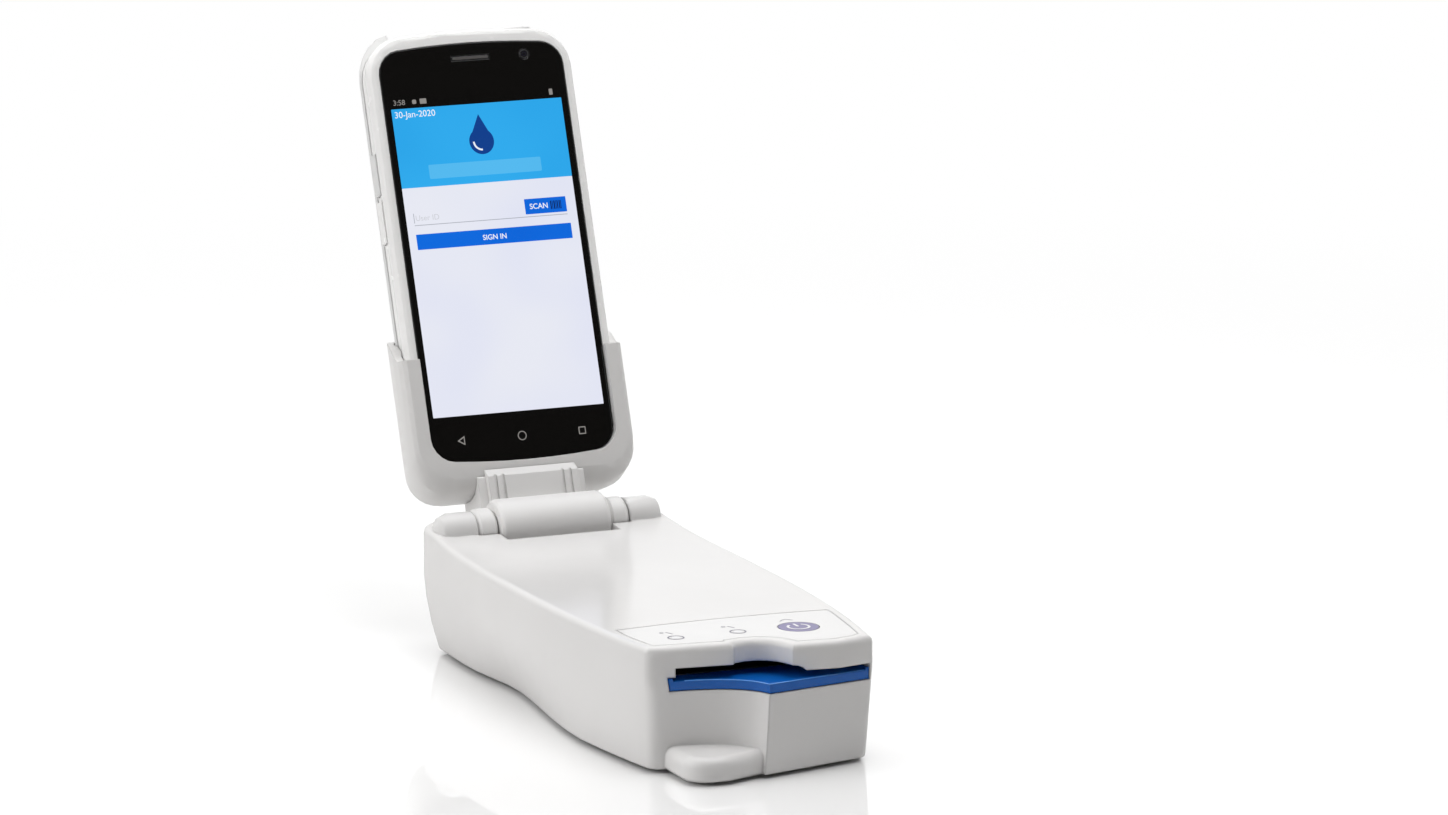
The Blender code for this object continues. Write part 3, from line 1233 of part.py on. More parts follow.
def build_side_keys(frame, axis):
    """The keys on the host's sides and top, each in its own recess."""
    front = GLASS_DEPTH + KEY_FROM_GLASS
    back = front + KEY_DEPTH
    gap = FIT_GAP
    inner = HOST_HALF_WIDTH - KEY_BACK
    outer = HOST_HALF_WIDTH + KEY_PROUD
    floor = inner - KEY_TRAVEL - gap
    keys = (("scan_key_left", -1, SCAN_KEY_LOW, SCAN_KEY_LENGTH), ("talk_key", -1, TALK_KEY_LOW, TALK_KEY_LENGTH),
            ("scan_key_right", 1, SCAN_KEY_LOW, SCAN_KEY_LENGTH), ("volume_rocker", 1, VOLUME_LOW, VOLUME_LENGTH))
    for name, side, low, length in keys:
        xs = sorted((side * inner, side * outer))
        room = sorted((side * floor, side * (outer + OVERRUN)))
        middle = (side * inner, (front + back) / 2, low + length / 2)
        boolean(frame, box(name + "_room", (room[0], front - gap, low - gap), (room[1], back + gap, low + length + gap),
                           axis))
        key = box(name, (xs[0], front, low), (xs[1], back, low + length), axis, middle)
        as_part(rounded(key, EDGE_ROUND / 2), "host_white")
    top = HOST_LOW + HOST_LENGTH - HOST_ARCH * (POWER_KEY_X / HOST_HALF_WIDTH) ** 2
    near = POWER_KEY_X - POWER_KEY_LENGTH / 2
    far = POWER_KEY_X + POWER_KEY_LENGTH / 2
    boolean(frame, box("power_key_room", (near - gap, front - gap, top - KEY_BACK - KEY_TRAVEL - gap),
                       (far + gap, back + gap, top + OVERRUN), axis))
    key = box("host_power_key", (near, front, top - KEY_BACK), (far, back, top + KEY_PROUD / 2), axis,
              (POWER_KEY_X, (front + back) / 2, top - KEY_BACK))
    as_part(rounded(key, EDGE_ROUND / 2), "host_white")


def build_host_back(axis):
    back = GLASS_DEPTH + HOST_THICK
    rear = loft("rear_cover", host_rings(REAR_RING_SHARES, swells=REAR_SWELL_SHARES), axis)
    gap = FIT_GAP
    cell_front = back - CELL_THICK
    boolean(rear, box("cell_room", (-CELL_HALF_WIDTH - gap, cell_front - gap, CELL_LOW - gap),
                      (CELL_HALF_WIDTH + gap, back + OVERRUN, CELL_HIGH + gap), axis))
    cell = box("host_battery", (-CELL_HALF_WIDTH, cell_front, CELL_LOW), (CELL_HALF_WIDTH, back, CELL_HIGH), axis)
    as_part(rounded(cell, EDGE_ROUND), "host_grey")
    latch_front = back - LATCH_WIDTH / 2
    near = CELL_HALF_WIDTH + LATCH_WIDTH / 2
    far = near + LATCH_WIDTH
    for name, side in (("battery_latch_right", 1), ("battery_latch_left", -1)):
        xs = sorted((side * near, side * far))
        boolean(rear, box(name + "_room", (xs[0] - gap, latch_front - gap, LATCH_LOW - LATCH_TRAVEL - gap),
                          (xs[1] + gap, back + OVERRUN, LATCH_LOW + LATCH_LENGTH + gap), axis))
        latch = box(name, (xs[0], latch_front, LATCH_LOW), (xs[1], back, LATCH_LOW + LATCH_LENGTH), axis,
                    (side * (near + far) / 2, latch_front, LATCH_LOW))
        as_part(rounded(latch, EDGE_ROUND / 2), "dark_plastic")
    thin = WINDOW_DEPTH / 2
    for name, x, radius in (("rear_camera", -CAMERA_X, CAMERA_RADIUS), ("camera_flash", -FLASH_X, FLASH_RADIUS)):
        boolean(rear, rod(name + "_room", (x, back - thin - gap, CAMERA_HIGH), (x, back + OVERRUN, CAMERA_HIGH),
                          radius + gap, axis, segments=28))
        as_part(rod(name, (x, back - thin, CAMERA_HIGH), (x, back, CAMERA_HIGH), radius, axis, segments=28),
                "glass_black")
    top = HOST_LOW + HOST_LENGTH - 2 * WINDOW_DEPTH
    middle = GLASS_DEPTH + HOST_THICK * (REAR_RING_SHARES[0][0] + REAR_RING_SHARES[2][0]) / 2
    half = WINDOW_HEIGHT / 2
    boolean(rear, box("scan_window_room", (-WINDOW_HALF_WIDTH - gap, middle - half - gap, top - WINDOW_DEPTH - gap),
                      (WINDOW_HALF_WIDTH + gap, middle + half + gap, top + 2 * OVERRUN), axis))
    as_part(box("scan_window", (-WINDOW_HALF_WIDTH, middle - half, top - WINDOW_DEPTH),
                (WINDOW_HALF_WIDTH, middle + half, top), axis), "glass_black")
    as_part(rear, "host_grey")


def build():
    build_reader()
    build_hinge()
    axis = leaning_axis()
    build_cradle(axis)
    build_host(axis)


build()
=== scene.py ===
"""Looks of a portable blood gas analyzer: materials, screen, printed marks, studio and camera."""

import math

import bmesh
import bpy
from mathutils import Matrix, Vector


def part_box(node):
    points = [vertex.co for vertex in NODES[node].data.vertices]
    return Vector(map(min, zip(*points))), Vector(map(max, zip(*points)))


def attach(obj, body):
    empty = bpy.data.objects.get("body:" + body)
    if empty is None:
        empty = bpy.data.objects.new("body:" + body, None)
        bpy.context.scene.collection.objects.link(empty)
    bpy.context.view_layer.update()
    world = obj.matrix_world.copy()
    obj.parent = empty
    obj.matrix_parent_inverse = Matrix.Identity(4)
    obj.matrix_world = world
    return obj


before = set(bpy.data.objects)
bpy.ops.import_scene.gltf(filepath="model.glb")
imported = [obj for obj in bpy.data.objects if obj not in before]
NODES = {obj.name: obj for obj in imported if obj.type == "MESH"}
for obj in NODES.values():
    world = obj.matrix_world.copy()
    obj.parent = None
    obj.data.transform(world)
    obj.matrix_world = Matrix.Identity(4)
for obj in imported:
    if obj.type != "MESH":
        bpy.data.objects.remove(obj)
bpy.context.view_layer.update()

# The hinge line, the host's lean, and the planes that flat pieces are laid on
HINGE = Vector((0, 0.0568, 0.042))
LEAN = math.radians(20.475)
LEANED = Matrix.Translation(HINGE) @ Matrix.Rotation(-LEAN, 4, "X")
BACKWARD = LEANED @ Matrix.Rotation(math.radians(180), 4, "Z")
UPWARD = Matrix.Rotation(math.radians(-90), 4, "X")
DOWNWARD = Matrix.Rotation(math.radians(90), 4, "X")

# Thickness that printed layers are counted in
SKIN = 0.00006


# ---------------------------------------------------------------- shader nodes

# Sockets of the colour mix node
MIX_FACTOR, MIX_FIRST, MIX_SECOND, MIX_RESULT = 0, 6, 7, 2

# The part of a noise texture's range that its values mostly fill
NOISE_LOW, NOISE_HIGH = 0.3, 0.7

DRIFT_SCALE = 18.0
GLOSS_SCALE = 160.0
GRAIN_DEPTH = 0.0001
COAT_ROUGHNESS = 0.06
EDGE_SAMPLES = 6

LIT_BASE = (0.004, 0.004, 0.004)
LIT_ROUGHNESS = 0.06
LIT_SHADE = 0.97
LIT_SCALE = 30.0


def add(tree, kind, **values):
    node = tree.nodes.new(kind)
    for key, value in values.items():
        setattr(node, key, value)
    return node


def new_material(name):
    material = bpy.data.materials.new(name)
    material.use_nodes = True
    tree = material.node_tree
    return material, tree, tree.nodes["Principled BSDF"]


def noise(tree, scale, detail=3.0, roughness=0.5):
    place = add(tree, "ShaderNodeTexCoord")
    texture = add(tree, "ShaderNodeTexNoise")
    texture.inputs["Scale"].default_value = scale
    texture.inputs["Detail"].default_value = detail
    texture.inputs["Roughness"].default_value = roughness
    tree.links.new(place.outputs["Object"], texture.inputs["Vector"])
    return texture.outputs["Fac"]


def mapped(tree, value, begin, end, low, high, **values):
    """A value that goes from low to high while the given one goes from begin to end."""
    node = add(tree, "ShaderNodeMapRange", **values)
    node.inputs["From Min"].default_value = begin
    node.inputs["From Max"].default_value = end
    node.inputs["To Min"].default_value = low
    node.inputs["To Max"].default_value = high
    tree.links.new(value, node.inputs["Value"])
    return node.outputs["Result"]


def tint(tree, value, first, second):
    node = add(tree, "ShaderNodeMix", data_type="RGBA")
    node.inputs[MIX_FIRST].default_value = (*first, 1)
    node.inputs[MIX_SECOND].default_value = (*second, 1)
    tree.links.new(value, node.inputs[MIX_FACTOR])
    return node.outputs[MIX_RESULT]


def colored(tree, kind, color):
    """A shader node of the given kind and colour."""
    node = add(tree, kind)
    node.inputs["Color"].default_value = (*color, 1)
    return node


def blend(tree, factor, first, second):
    """A shader that turns from first to second as the factor goes from 0 to 1."""
    node = add(tree, "ShaderNodeMixShader")
    tree.links.new(factor, node.inputs[0])
    tree.links.new(first, node.inputs[1])
    tree.links.new(second, node.inputs[2])
    return node.outputs[0]


def moulded(name, color, roughness, grain=0.0, grain_scale=2600.0, rounding=0.0004, coat=0.0,
            vary=0.02, shade=0.96, metallic=0.0, ior=1.5):
    """Plastic, rubber or metal: soft colour drift, uneven gloss, fine grain and broken edges."""
    material, tree, shader = new_material(name)
    darker = tuple(c * shade for c in color)
    drift = mapped(tree, noise(tree, DRIFT_SCALE, 2.0), NOISE_LOW, NOISE_HIGH, 0.0, 1.0)
    tree.links.new(tint(tree, drift, color, darker), shader.inputs["Base Color"])
    gloss = mapped(tree, noise(tree, GLOSS_SCALE, 4.0), NOISE_LOW, NOISE_HIGH,
                   roughness - vary, roughness + vary)
    tree.links.new(gloss, shader.inputs["Roughness"])
    shader.inputs["Metallic"].default_value = metallic
    shader.inputs["IOR"].default_value = ior
    if coat:
        shader.inputs["Coat Weight"].default_value = coat
        shader.inputs["Coat Roughness"].default_value = COAT_ROUGHNESS
    edge = add(tree, "ShaderNodeBevel", samples=EDGE_SAMPLES)
    edge.inputs["Radius"].default_value = rounding
    normal = edge.outputs["Normal"]
    if grain:
        bump = add(tree, "ShaderNodeBump")
        bump.inputs["Strength"].default_value = grain
        bump.inputs["Distance"].default_value = GRAIN_DEPTH
        tree.links.new(noise(tree, grain_scale, 4.0, 0.6), bump.inputs["Height"])
        tree.links.new(normal, bump.inputs["Normal"])
        normal = bump.outputs["Normal"]
    tree.links.new(normal, shader.inputs["Normal"])
    return material


def lit(name, color, second=None, strength=1.0):
    """A lit area of the display, under smooth cover glass."""
    material, tree, shader = new_material(name)
    shader.inputs["Base Color"].default_value = (*LIT_BASE, 1)
    shader.inputs["Roughness"].default_value = LIT_ROUGHNESS
    shader.inputs["Emission Strength"].default_value = strength
    second = second or tuple(c * LIT_SHADE for c in color)
    drift = mapped(tree, noise(tree, LIT_SCALE, 1.0), NOISE_LOW, NOISE_HIGH, 0.0, 1.0)
    tree.links.new(tint(tree, drift, color, second), shader.inputs["Emission Color"])
    return material


def linear(red, green, blue):
    """A colour read as 0 to 255 screen values."""
    def one(value):
        value /= 255
        return value / 12.92 if value <= 0.04045 else ((value + 0.055) / 1.055) ** 2.4
    return one(red), one(green), one(blue)


# ---------------------------------------------------------------- materials

# The reader and its film
SHELL = moulded("shell_plastic", (0.76, 0.75, 0.742), roughness=0.14, grain=0.04,
                grain_scale=900, rounding=0.0013, ior=1.4)
BASE = moulded("base_plastic", (0.60, 0.59, 0.585), roughness=0.46, grain=0.35)
BLUE = moulded("bezel_plastic", (0.004, 0.115, 0.48), roughness=0.20, grain=0.05,
               rounding=0.0008, ior=1.38)
# A lighter copy of the bezel blue: a painted highlight along the bezel's front edge
BEAD_HIGHLIGHT_BLUE = moulded("bezel_bead_painted_highlight", (0.07, 0.30, 0.80), roughness=0.12, rounding=0.0001)
FILM = moulded("overlay_film", (0.77, 0.765, 0.76), roughness=0.20, grain=0.05,
               grain_scale=1500, rounding=0.0001, coat=0.3)
VIOLET = moulded("button_film", (0.18, 0.16, 0.32), roughness=0.34, grain=0.2, rounding=0.0003)
PIPE = moulded("light_pipe", (0.78, 0.78, 0.80), roughness=0.22, rounding=0.0002)

# The cradle and its hinge
CRADLE = moulded("cradle_plastic", (0.73, 0.72, 0.71), roughness=0.34, grain=0.18,
                 rounding=0.0006)
BARREL = moulded("hinge_plastic", (0.82, 0.81, 0.80), roughness=0.40, grain=0.25,
                 rounding=0.0004)

# Small and inner parts
STEEL = moulded("screw_steel", (0.60, 0.60, 0.61), roughness=0.28, metallic=1.0,
                rounding=0.0001, shade=0.85)
BRASS = moulded("contact_gold", (0.80, 0.58, 0.22), roughness=0.25, metallic=1.0,
                rounding=0.00005)
ALUMINIUM = moulded("heater_aluminium", (0.75, 0.76, 0.77), roughness=0.35, metallic=1.0,
                    rounding=0.0001)
RUBBER = moulded("foot_rubber", (0.035, 0.035, 0.038), roughness=0.75, grain=0.6,
                 rounding=0.0003)
BOARD = moulded("board_green", (0.02, 0.14, 0.06), roughness=0.4, grain=0.2, rounding=0.0001)
WRAP = moulded("cell_wrap", (0.06, 0.07, 0.09), roughness=0.4, rounding=0.0008)
DARK = moulded("dark_plastic", (0.020, 0.020, 0.022), roughness=0.45, grain=0.3,
               rounding=0.0002)

# The host
HOST = moulded("host_white", (0.90, 0.895, 0.885), roughness=0.26, grain=0.06,
               grain_scale=1400, rounding=0.0005)
HOST_GREY = moulded("host_grey", (0.52, 0.53, 0.54), roughness=0.52, grain=0.45,
                    rounding=0.0006)
BUMPER = moulded("host_bumper", (0.74, 0.74, 0.735), roughness=0.42, grain=0.25,
                 rounding=0.0006)

# Printed marks and creases
MARK = moulded("printed_grey", (0.10, 0.095, 0.14), roughness=0.36, grain=0.1,
               rounding=0.00005)
CREASE = moulded("film_edge", (0.42, 0.41, 0.41), roughness=0.45, grain=0.1, rounding=0.00005)
PRINT_WHITE = moulded("printed_white", (0.80, 0.79, 0.81), roughness=0.34, grain=0.1,
                      rounding=0.00005)

# Lenses, speaker and glass
RIM = moulded("lens_rim", (0.10, 0.10, 0.105), roughness=0.25, metallic=1.0, rounding=0.0001)
LENS = moulded("lens_glass", (0.012, 0.010, 0.030), roughness=0.03, rounding=0.0002,
               coat=0.6, vary=0.008)
MESH = moulded("speaker_mesh", (0.055, 0.050, 0.048), roughness=0.42, grain=0.9,
               grain_scale=5200, rounding=0.00005)
GLASS = moulded("cover_glass", (0.006, 0.0055, 0.005), roughness=0.035, rounding=0.0003,
                vary=0.01)

BY_NODE = {
    "upper_shell": SHELL, "base_plate": BASE, "battery_cover": BASE, "slot_bezel": BLUE,
    "control_overlay": FILM, "power_button": VIOLET, "status_light_1": PIPE,
    "status_light_2": PIPE, "hinge_arm": BARREL, "cradle_shell": CRADLE,
    "collar_left": BARREL, "collar_right": BARREL, "host_frame": HOST, "rear_cover": BUMPER,
    "host_battery": HOST_GREY, "front_glass": GLASS, "front_camera": GLASS,
    "rear_camera": GLASS, "camera_flash": PIPE, "scan_window": GLASS, "display_panel": DARK,
    "earpiece_grille": DARK, "scan_key_left": HOST, "scan_key_right": HOST,
    "talk_key": BUMPER, "volume_rocker": BUMPER, "host_power_key": BUMPER,
    "battery_latch_left": DARK, "battery_latch_right": DARK, "host_board": BOARD,
    "main_board": BOARD, "battery_pack": WRAP, "contact_strip": BRASS,
    "heater_plate": ALUMINIUM, "card_guide": DARK, "contact_block": DARK,
    "charger_inlet": DARK, "dock_plug": DARK,
}

WELD_REACH = 0.000005
SPLIT_ANGLE = math.radians(28)


def dress_nodes():
    """Each node's material and smooth shading: rubber for the feet, steel for what is unlisted."""
    for name, node in NODES.items():
        material = BY_NODE.get(name)
        if material is None:
            material = RUBBER if name.startswith("rubber") else STEEL
        node.data.materials.clear()
        node.data.materials.append(material)
        node.data.shade_smooth()
        weld = node.modifiers.new("weld", "WELD")
        weld.merge_threshold = WELD_REACH
        split = node.modifiers.new("split", "EDGE_SPLIT")
        split.split_angle = SPLIT_ANGLE
        node.modifiers.new("weighted", "WEIGHTED_NORMAL").keep_sharp = True


# ---------------------------------------------------------------- pieces

def piece(name, mesh, material, body):
    thing = bpy.data.objects.new(name, mesh)
    bpy.context.scene.collection.objects.link(thing)
    thing.data.materials.clear()
    thing.data.materials.append(material)
    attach(thing, body)
    return thing


def slab(points, front, thick, place, bevel=0.0):
    """A flat plate on an outline in x and height, its face toward -Y, moved by place."""
    mesh = bpy.data.meshes.new("slab")
    work = bmesh.new()
    face = work.faces.new([work.verts.new((x, front, z)) for x, z in points])
    work.normal_update()
    if face.normal.y > 0:
        face.normal_flip()
    made = bmesh.ops.extrude_face_region(work, geom=[face])
    for vertex in made["geom"]:
        if isinstance(vertex, bmesh.types.BMVert):
            vertex.co.y += thick
    bmesh.ops.recalc_face_normals(work, faces=work.faces)
    if bevel:
        rim = [edge for edge in work.edges
               if all(abs(v.co.y - front) < 1e-9 for v in edge.verts)]
        bmesh.ops.bevel(work, geom=rim, offset=bevel, segments=2, affect="EDGES", profile=0.6)
    work.to_mesh(mesh)
    work.free()
    mesh.transform(place)
    return mesh


def rounded_box(left, low, right, high, radius, steps=5):
    """The outline of a rectangle with round corners."""
    corners = ((right - radius, low + radius, -90), (right - radius, high - radius, 0),
               (left + radius, high - radius, 90), (left + radius, low + radius, 180))
    points = []
    for x, z, start in corners:
        for step in range(steps + 1):
            angle = math.radians(start + 90 * step / steps)
            points.append((x + radius * math.cos(angle), z + radius * math.sin(angle)))
    return points


def join_rows(work, rows, closed):
    """Faces between loops of vertices, with a cap on each end unless the loops come round."""
    count = len(rows[0])
    pairs = list(zip(rows, rows[1:])) + ([(rows[-1], rows[0])] if closed else [])
    for one, two in pairs:
        for i in range(count):
            j = (i + 1) % count
            work.faces.new((one[i], one[j], two[j], two[i]))
    if not closed:
        work.faces.new(rows[0])
        work.faces.new(rows[-1][::-1])
    bmesh.ops.recalc_face_normals(work, faces=work.faces)


def ring_mesh(x, z, radius, width, front, thick, place, segments=40, gap=0.0, turn=90.0):
    """A flat ring, open by gap degrees around the turn direction."""
    mesh = bpy.data.meshes.new("ring")
    work = bmesh.new()
    start = turn + gap / 2
    total = 360 - gap
    section = ((radius - width / 2, front), (radius + width / 2, front),
               (radius + width / 2, front + thick), (radius - width / 2, front + thick))
    rows = []
    for step in range(segments if gap == 0 else segments + 1):
        angle = math.radians(start + total * step / segments)
        rows.append([work.verts.new((x + r * math.cos(angle), y, z + r * math.sin(angle)))
                     for r, y in section])
    join_rows(work, rows, closed=gap == 0)
    work.to_mesh(mesh)
    work.free()
    mesh.transform(place)
    return mesh


# ---------------------------------------------------------------- host screen

# The display's plane and its main areas, across and up the host's own front
GLASS_FRONT = 0.0116
SCREEN_HALF = 0.03115
SCREEN_LOW = 0.04086
HEADER_LOW = 0.1200
HEADER_HIGH = 0.14741

CORNER = 0.0002
HAIRLINE_CORNER = 0.00005
BOLD = 0.00003

# Colours as 0 to 255 screen values, two where one drifts into the other
SCREEN_COLORS = {
    "pale": ((231, 233, 243), (224, 227, 243)),
    "header": ((48, 172, 238), (42, 165, 233)),
    "button": ((8, 105, 222), (6, 100, 216)),
    "white": ((238, 244, 252),),
    "grey": ((170, 174, 184),),
    "faint": ((205, 207, 214),),
    "navy": ((12, 62, 140),),
    "bars": ((6, 30, 80),),
    "icon": ((188, 184, 180),),
    "band": ((84, 186, 240),),
}
ICON_STRENGTH = 0.55

# Each area's name, left, low, right, high, layer, colour and corner
SCREEN_AREAS = (
    ("screen_page", -SCREEN_HALF, SCREEN_LOW, SCREEN_HALF, HEADER_LOW, 1, "pale", CORNER),
    ("screen_header", -SCREEN_HALF, HEADER_LOW, SCREEN_HALF, HEADER_HIGH, 1, "header", CORNER),
    ("screen_band", -0.0205, 0.1226, 0.0205, 0.1275, 2, "band", 0.0004),
    ("screen_sign_bar", -0.0284, 0.0986, 0.0283, 0.1039, 2, "button", CORNER),
    ("screen_scan_button", 0.0124, 0.1079, 0.0276, 0.1132, 2, "button", CORNER),
    ("screen_field_line", -0.0284, 0.10690, 0.0276, 0.10715, 2, "grey", HAIRLINE_CORNER),
    ("screen_cursor", -0.0284, 0.1078, -0.02815, 0.1112, 2, "grey", HAIRLINE_CORNER),
)
ICON_AREAS = (
    ("nav_recent", 0.0207, 0.0311, 0.0233, 0.0337, 1, "icon", CORNER),
    ("nav_recent_hollow", 0.02103, 0.03143, 0.02297, 0.03337, 2, "glass", 0.0001),
    ("status_mark_1", -0.0232, 0.1488, -0.0217, 0.1503, 1, "icon", 0.0004),
    ("status_mark_2", -0.0204, 0.1487, -0.0180, 0.1505, 1, "icon", CORNER),
    ("status_battery", 0.0270, 0.1486, 0.0283, 0.1507, 1, "icon", CORNER),
)

# Each word's name, text, place across and up, size, layer, colour, alignment and boldness
SCREEN_WORDS = (
    ("screen_word_scan", "SCAN", 0.0141, 0.10965, 0.0026, 3, "white", "LEFT", BOLD),
    ("screen_word_sign_in", "SIGN IN", 0.0, 0.1003, 0.0025, 3, "white", "CENTER", BOLD),
    ("screen_word_user", "User ID", -0.0278, 0.1086, 0.0027, 2, "faint", "LEFT", 0.0),
    ("screen_date", "30-Jan-2020", -0.0303, 0.1443, 0.0031, 2, "white", "LEFT", 0.0),
    ("screen_time", "3:58", -0.0302, 0.1487, 0.0026, 1, "icon", "LEFT", 0.0),
)

# The bar code on the scan button: each bar's place as a share of the code's width, and its width
CODE_LEFT = 0.0218
CODE_LENGTH = 0.0040
CODE_LOW = 0.1091
CODE_HIGH = 0.1120
CODE_CORNER = 0.00003
CODE_BARS = ((0.0, 0.00038), (0.16, 0.00022), (0.30, 0.00042), (0.48, 0.00022),
             (0.60, 0.00036), (0.78, 0.00036), (0.92, 0.00022))

# The drop in the header: a round part, open at the top, drawn up to a tip
DROP_HEIGHT = 0.1343
DROP_RADIUS = 0.0045
DROP_TIP = 0.1437
DROP_START = -230
DROP_TURN = 280
DROP_STEPS = 32
GLINT_RADIUS = 0.0029
GLINT_WIDTH = 0.0006

# The keys under the display
NAV_BACK = ((-0.0236, 0.0324), (-0.0209, 0.0308), (-0.0209, 0.0340))
NAV_BACK_HOLLOW = ((-0.0229, 0.0324), (-0.02125, 0.03142), (-0.02125, 0.03338))
NAV_HEIGHT = 0.0324
NAV_HOME_RADIUS = 0.00145
NAV_HOME_WIDTH = 0.0003


def words(name, text, x, z, size, front, material, align, bold):
    """A line of letters on the host's front."""
    curve = bpy.data.curves.new(name, "FONT")
    curve.body = text
    curve.size = size
    curve.align_x = align
    curve.extrude = SKIN / 3
    curve.offset = bold
    thing = bpy.data.objects.new(name, curve)
    bpy.context.scene.collection.objects.link(thing)
    bpy.context.view_layer.update()
    depsgraph = bpy.context.evaluated_depsgraph_get()
    mesh = bpy.data.meshes.new_from_object(thing.evaluated_get(depsgraph))
    bpy.data.objects.remove(thing)
    upright = Matrix.Rotation(math.radians(90), 4, "X")
    mesh.transform(LEANED @ Matrix.Translation((x, front, z)) @ upright)
    return piece(name, mesh, material, "host")


def screen():
    """What the lit display shows, as thin layers on the cover glass."""
    level = [GLASS_FRONT - SKIN * n for n in range(4)]
    paint = {}
    for key, colors in SCREEN_COLORS.items():
        strength = ICON_STRENGTH if key == "icon" else 1.0
        paint[key] = lit("screen_" + key, *(linear(*color) for color in colors),
                         strength=strength)
    paint["glass"] = GLASS

    def layer_piece(name, mesh, key):
        return piece(name, mesh, paint[key], "host")

    def area(name, left, low, right, high, layer, key, corner):
        outline = rounded_box(left, low, right, high, corner, 2)
        return layer_piece(name, slab(outline, level[layer], SKIN / 2, LEANED), key)

    for row in SCREEN_AREAS:
        area(*row)
    for index, (share, wide) in enumerate(CODE_BARS):
        left = CODE_LEFT + CODE_LENGTH * share
        area(f"screen_code_{index + 1}", left, CODE_LOW, left + wide, CODE_HIGH, 3, "bars",
             CODE_CORNER)
    for name, text, x, z, size, layer, key, align, bold in SCREEN_WORDS:
        words(name, text, x, z, size, level[layer], paint[key], align, bold)

    drop = []
    for step in range(DROP_STEPS + 1):
        angle = math.radians(DROP_START + DROP_TURN * step / DROP_STEPS)
        drop.append((DROP_RADIUS * math.cos(angle), DROP_HEIGHT + DROP_RADIUS * math.sin(angle)))
    drop.append((0.0, DROP_TIP))
    layer_piece("screen_drop", slab(drop, level[2], SKIN / 2, LEANED), "navy")
    glint = ring_mesh(0, DROP_HEIGHT, GLINT_RADIUS, GLINT_WIDTH, level[3], SKIN / 2, LEANED,
                      segments=20, gap=270, turn=45)
    layer_piece("screen_drop_glint", glint, "white")

    layer_piece("nav_back", slab(NAV_BACK, level[1], SKIN / 2, LEANED), "icon")
    layer_piece("nav_back_hollow", slab(NAV_BACK_HOLLOW, level[2], SKIN / 2, LEANED), "glass")
    home = ring_mesh(0, NAV_HEIGHT, NAV_HOME_RADIUS, NAV_HOME_WIDTH, level[1], SKIN / 2, LEANED,
                     segments=32)
    layer_piece("nav_home", home, "icon")
    for row in ICON_AREAS:
        area(*row)


# ---------------------------------------------------------------- printed marks on the film

POWER_PLACE = (0.0190, -0.1102)
LIGHT_PLACES = ((-0.0232, -0.1087), (-0.0016, -0.1087))
FILM_TOP = 0.0406

# Where the film's rear edge and its right side are looked for
FILM_TOLERANCE = 1e-5
FILM_REAR_Y = -0.0918
FILM_SIDE_X = 0.0335
FILM_SIDE_Y = -0.0919

# Heights of the prints above the film, counted in SKIN
PRINT_LEVEL = 0.6
SYMBOL_LEVEL = 1.3

REAR_LINE_WIDTH = 0.00028
SIDE_LINE_WIDTH = 0.00022

# The power symbol
POWER_RADIUS = 0.00345
POWER_WIDTH = 0.00085
POWER_GAP = 70
POWER_BAR_HALF = 0.00042
POWER_BAR_LOW = 0.0003
POWER_BAR_HIGH = 0.0043
POWER_BAR_CORNER = 0.0004

# The rings, windows and small marks of the two lights
LIGHT_RING_RADIUS = 0.0025
LIGHT_RING_WIDTH = 0.00056
LIGHT_WINDOW_RADIUS = 0.0014
LIGHT_TAIL = ((-0.0002, 0.0080), (0.0005, 0.0068), (0.0010, 0.0052))
LIGHT_TAIL_WIDTH = 0.00044
LIGHT_DOT = (-0.0018, 0.0078)
LIGHT_DOT_RADIUS = 0.00058
LIGHT_DOT_WIDTH = 0.00032

# The arc behind the power button
ARC_PLACE = (-0.0024, 0.0092)
ARC_LENGTH = 0.0044
ARC_RISE = 0.0020
ARC_WIDTH = 0.0004
ARC_STEPS = 8


def ribbon(name, path, width, level, material):
    """A thin printed line through points in x and y, facing up."""
    left, right = [], []
    for index, (x, y) in enumerate(path):
        before = path[max(index - 1, 0)]
        after = path[min(index + 1, len(path) - 1)]
        along = Vector((after[0] - before[0], after[1] - before[1])).normalized() * (width / 2)
        left.append((x - along.y, y + along.x))
        right.append((x + along.y, y - along.x))
    mesh = slab(left + right[::-1], -level, SKIN / 2, UPWARD)
    return piece(name, mesh, material, "reader")


def film_edge():
    """Points along the film's rear edge and its right side, in order."""
    spots = {(round(v.co.x, 6), round(v.co.y, 6))
             for v in NODES["control_overlay"].data.vertices
             if v.co.z > FILM_TOP - FILM_TOLERANCE}
    rear = sorted(spot for spot in spots if spot[1] > FILM_REAR_Y)
    corner = rear.pop()
    side = sorted((spot for spot in spots if spot[0] > FILM_SIDE_X and spot[1] < FILM_SIDE_Y),
                  key=lambda spot: -spot[1])
    return rear, [corner] + side


def bend_points(start, corner, end, steps=6, before=0.25, after=0.35):
    """A quadratic turn past a corner, from a share of the way before it to one after it."""
    middle = Vector(corner)
    first = Vector(corner).lerp(Vector(start), before)
    last = Vector(corner).lerp(Vector(end), after)
    points = []
    for step in range(1, steps + 1):
        t = step / steps
        points.append(tuple(first.lerp(middle, t).lerp(middle.lerp(last, t), t)))
    return points


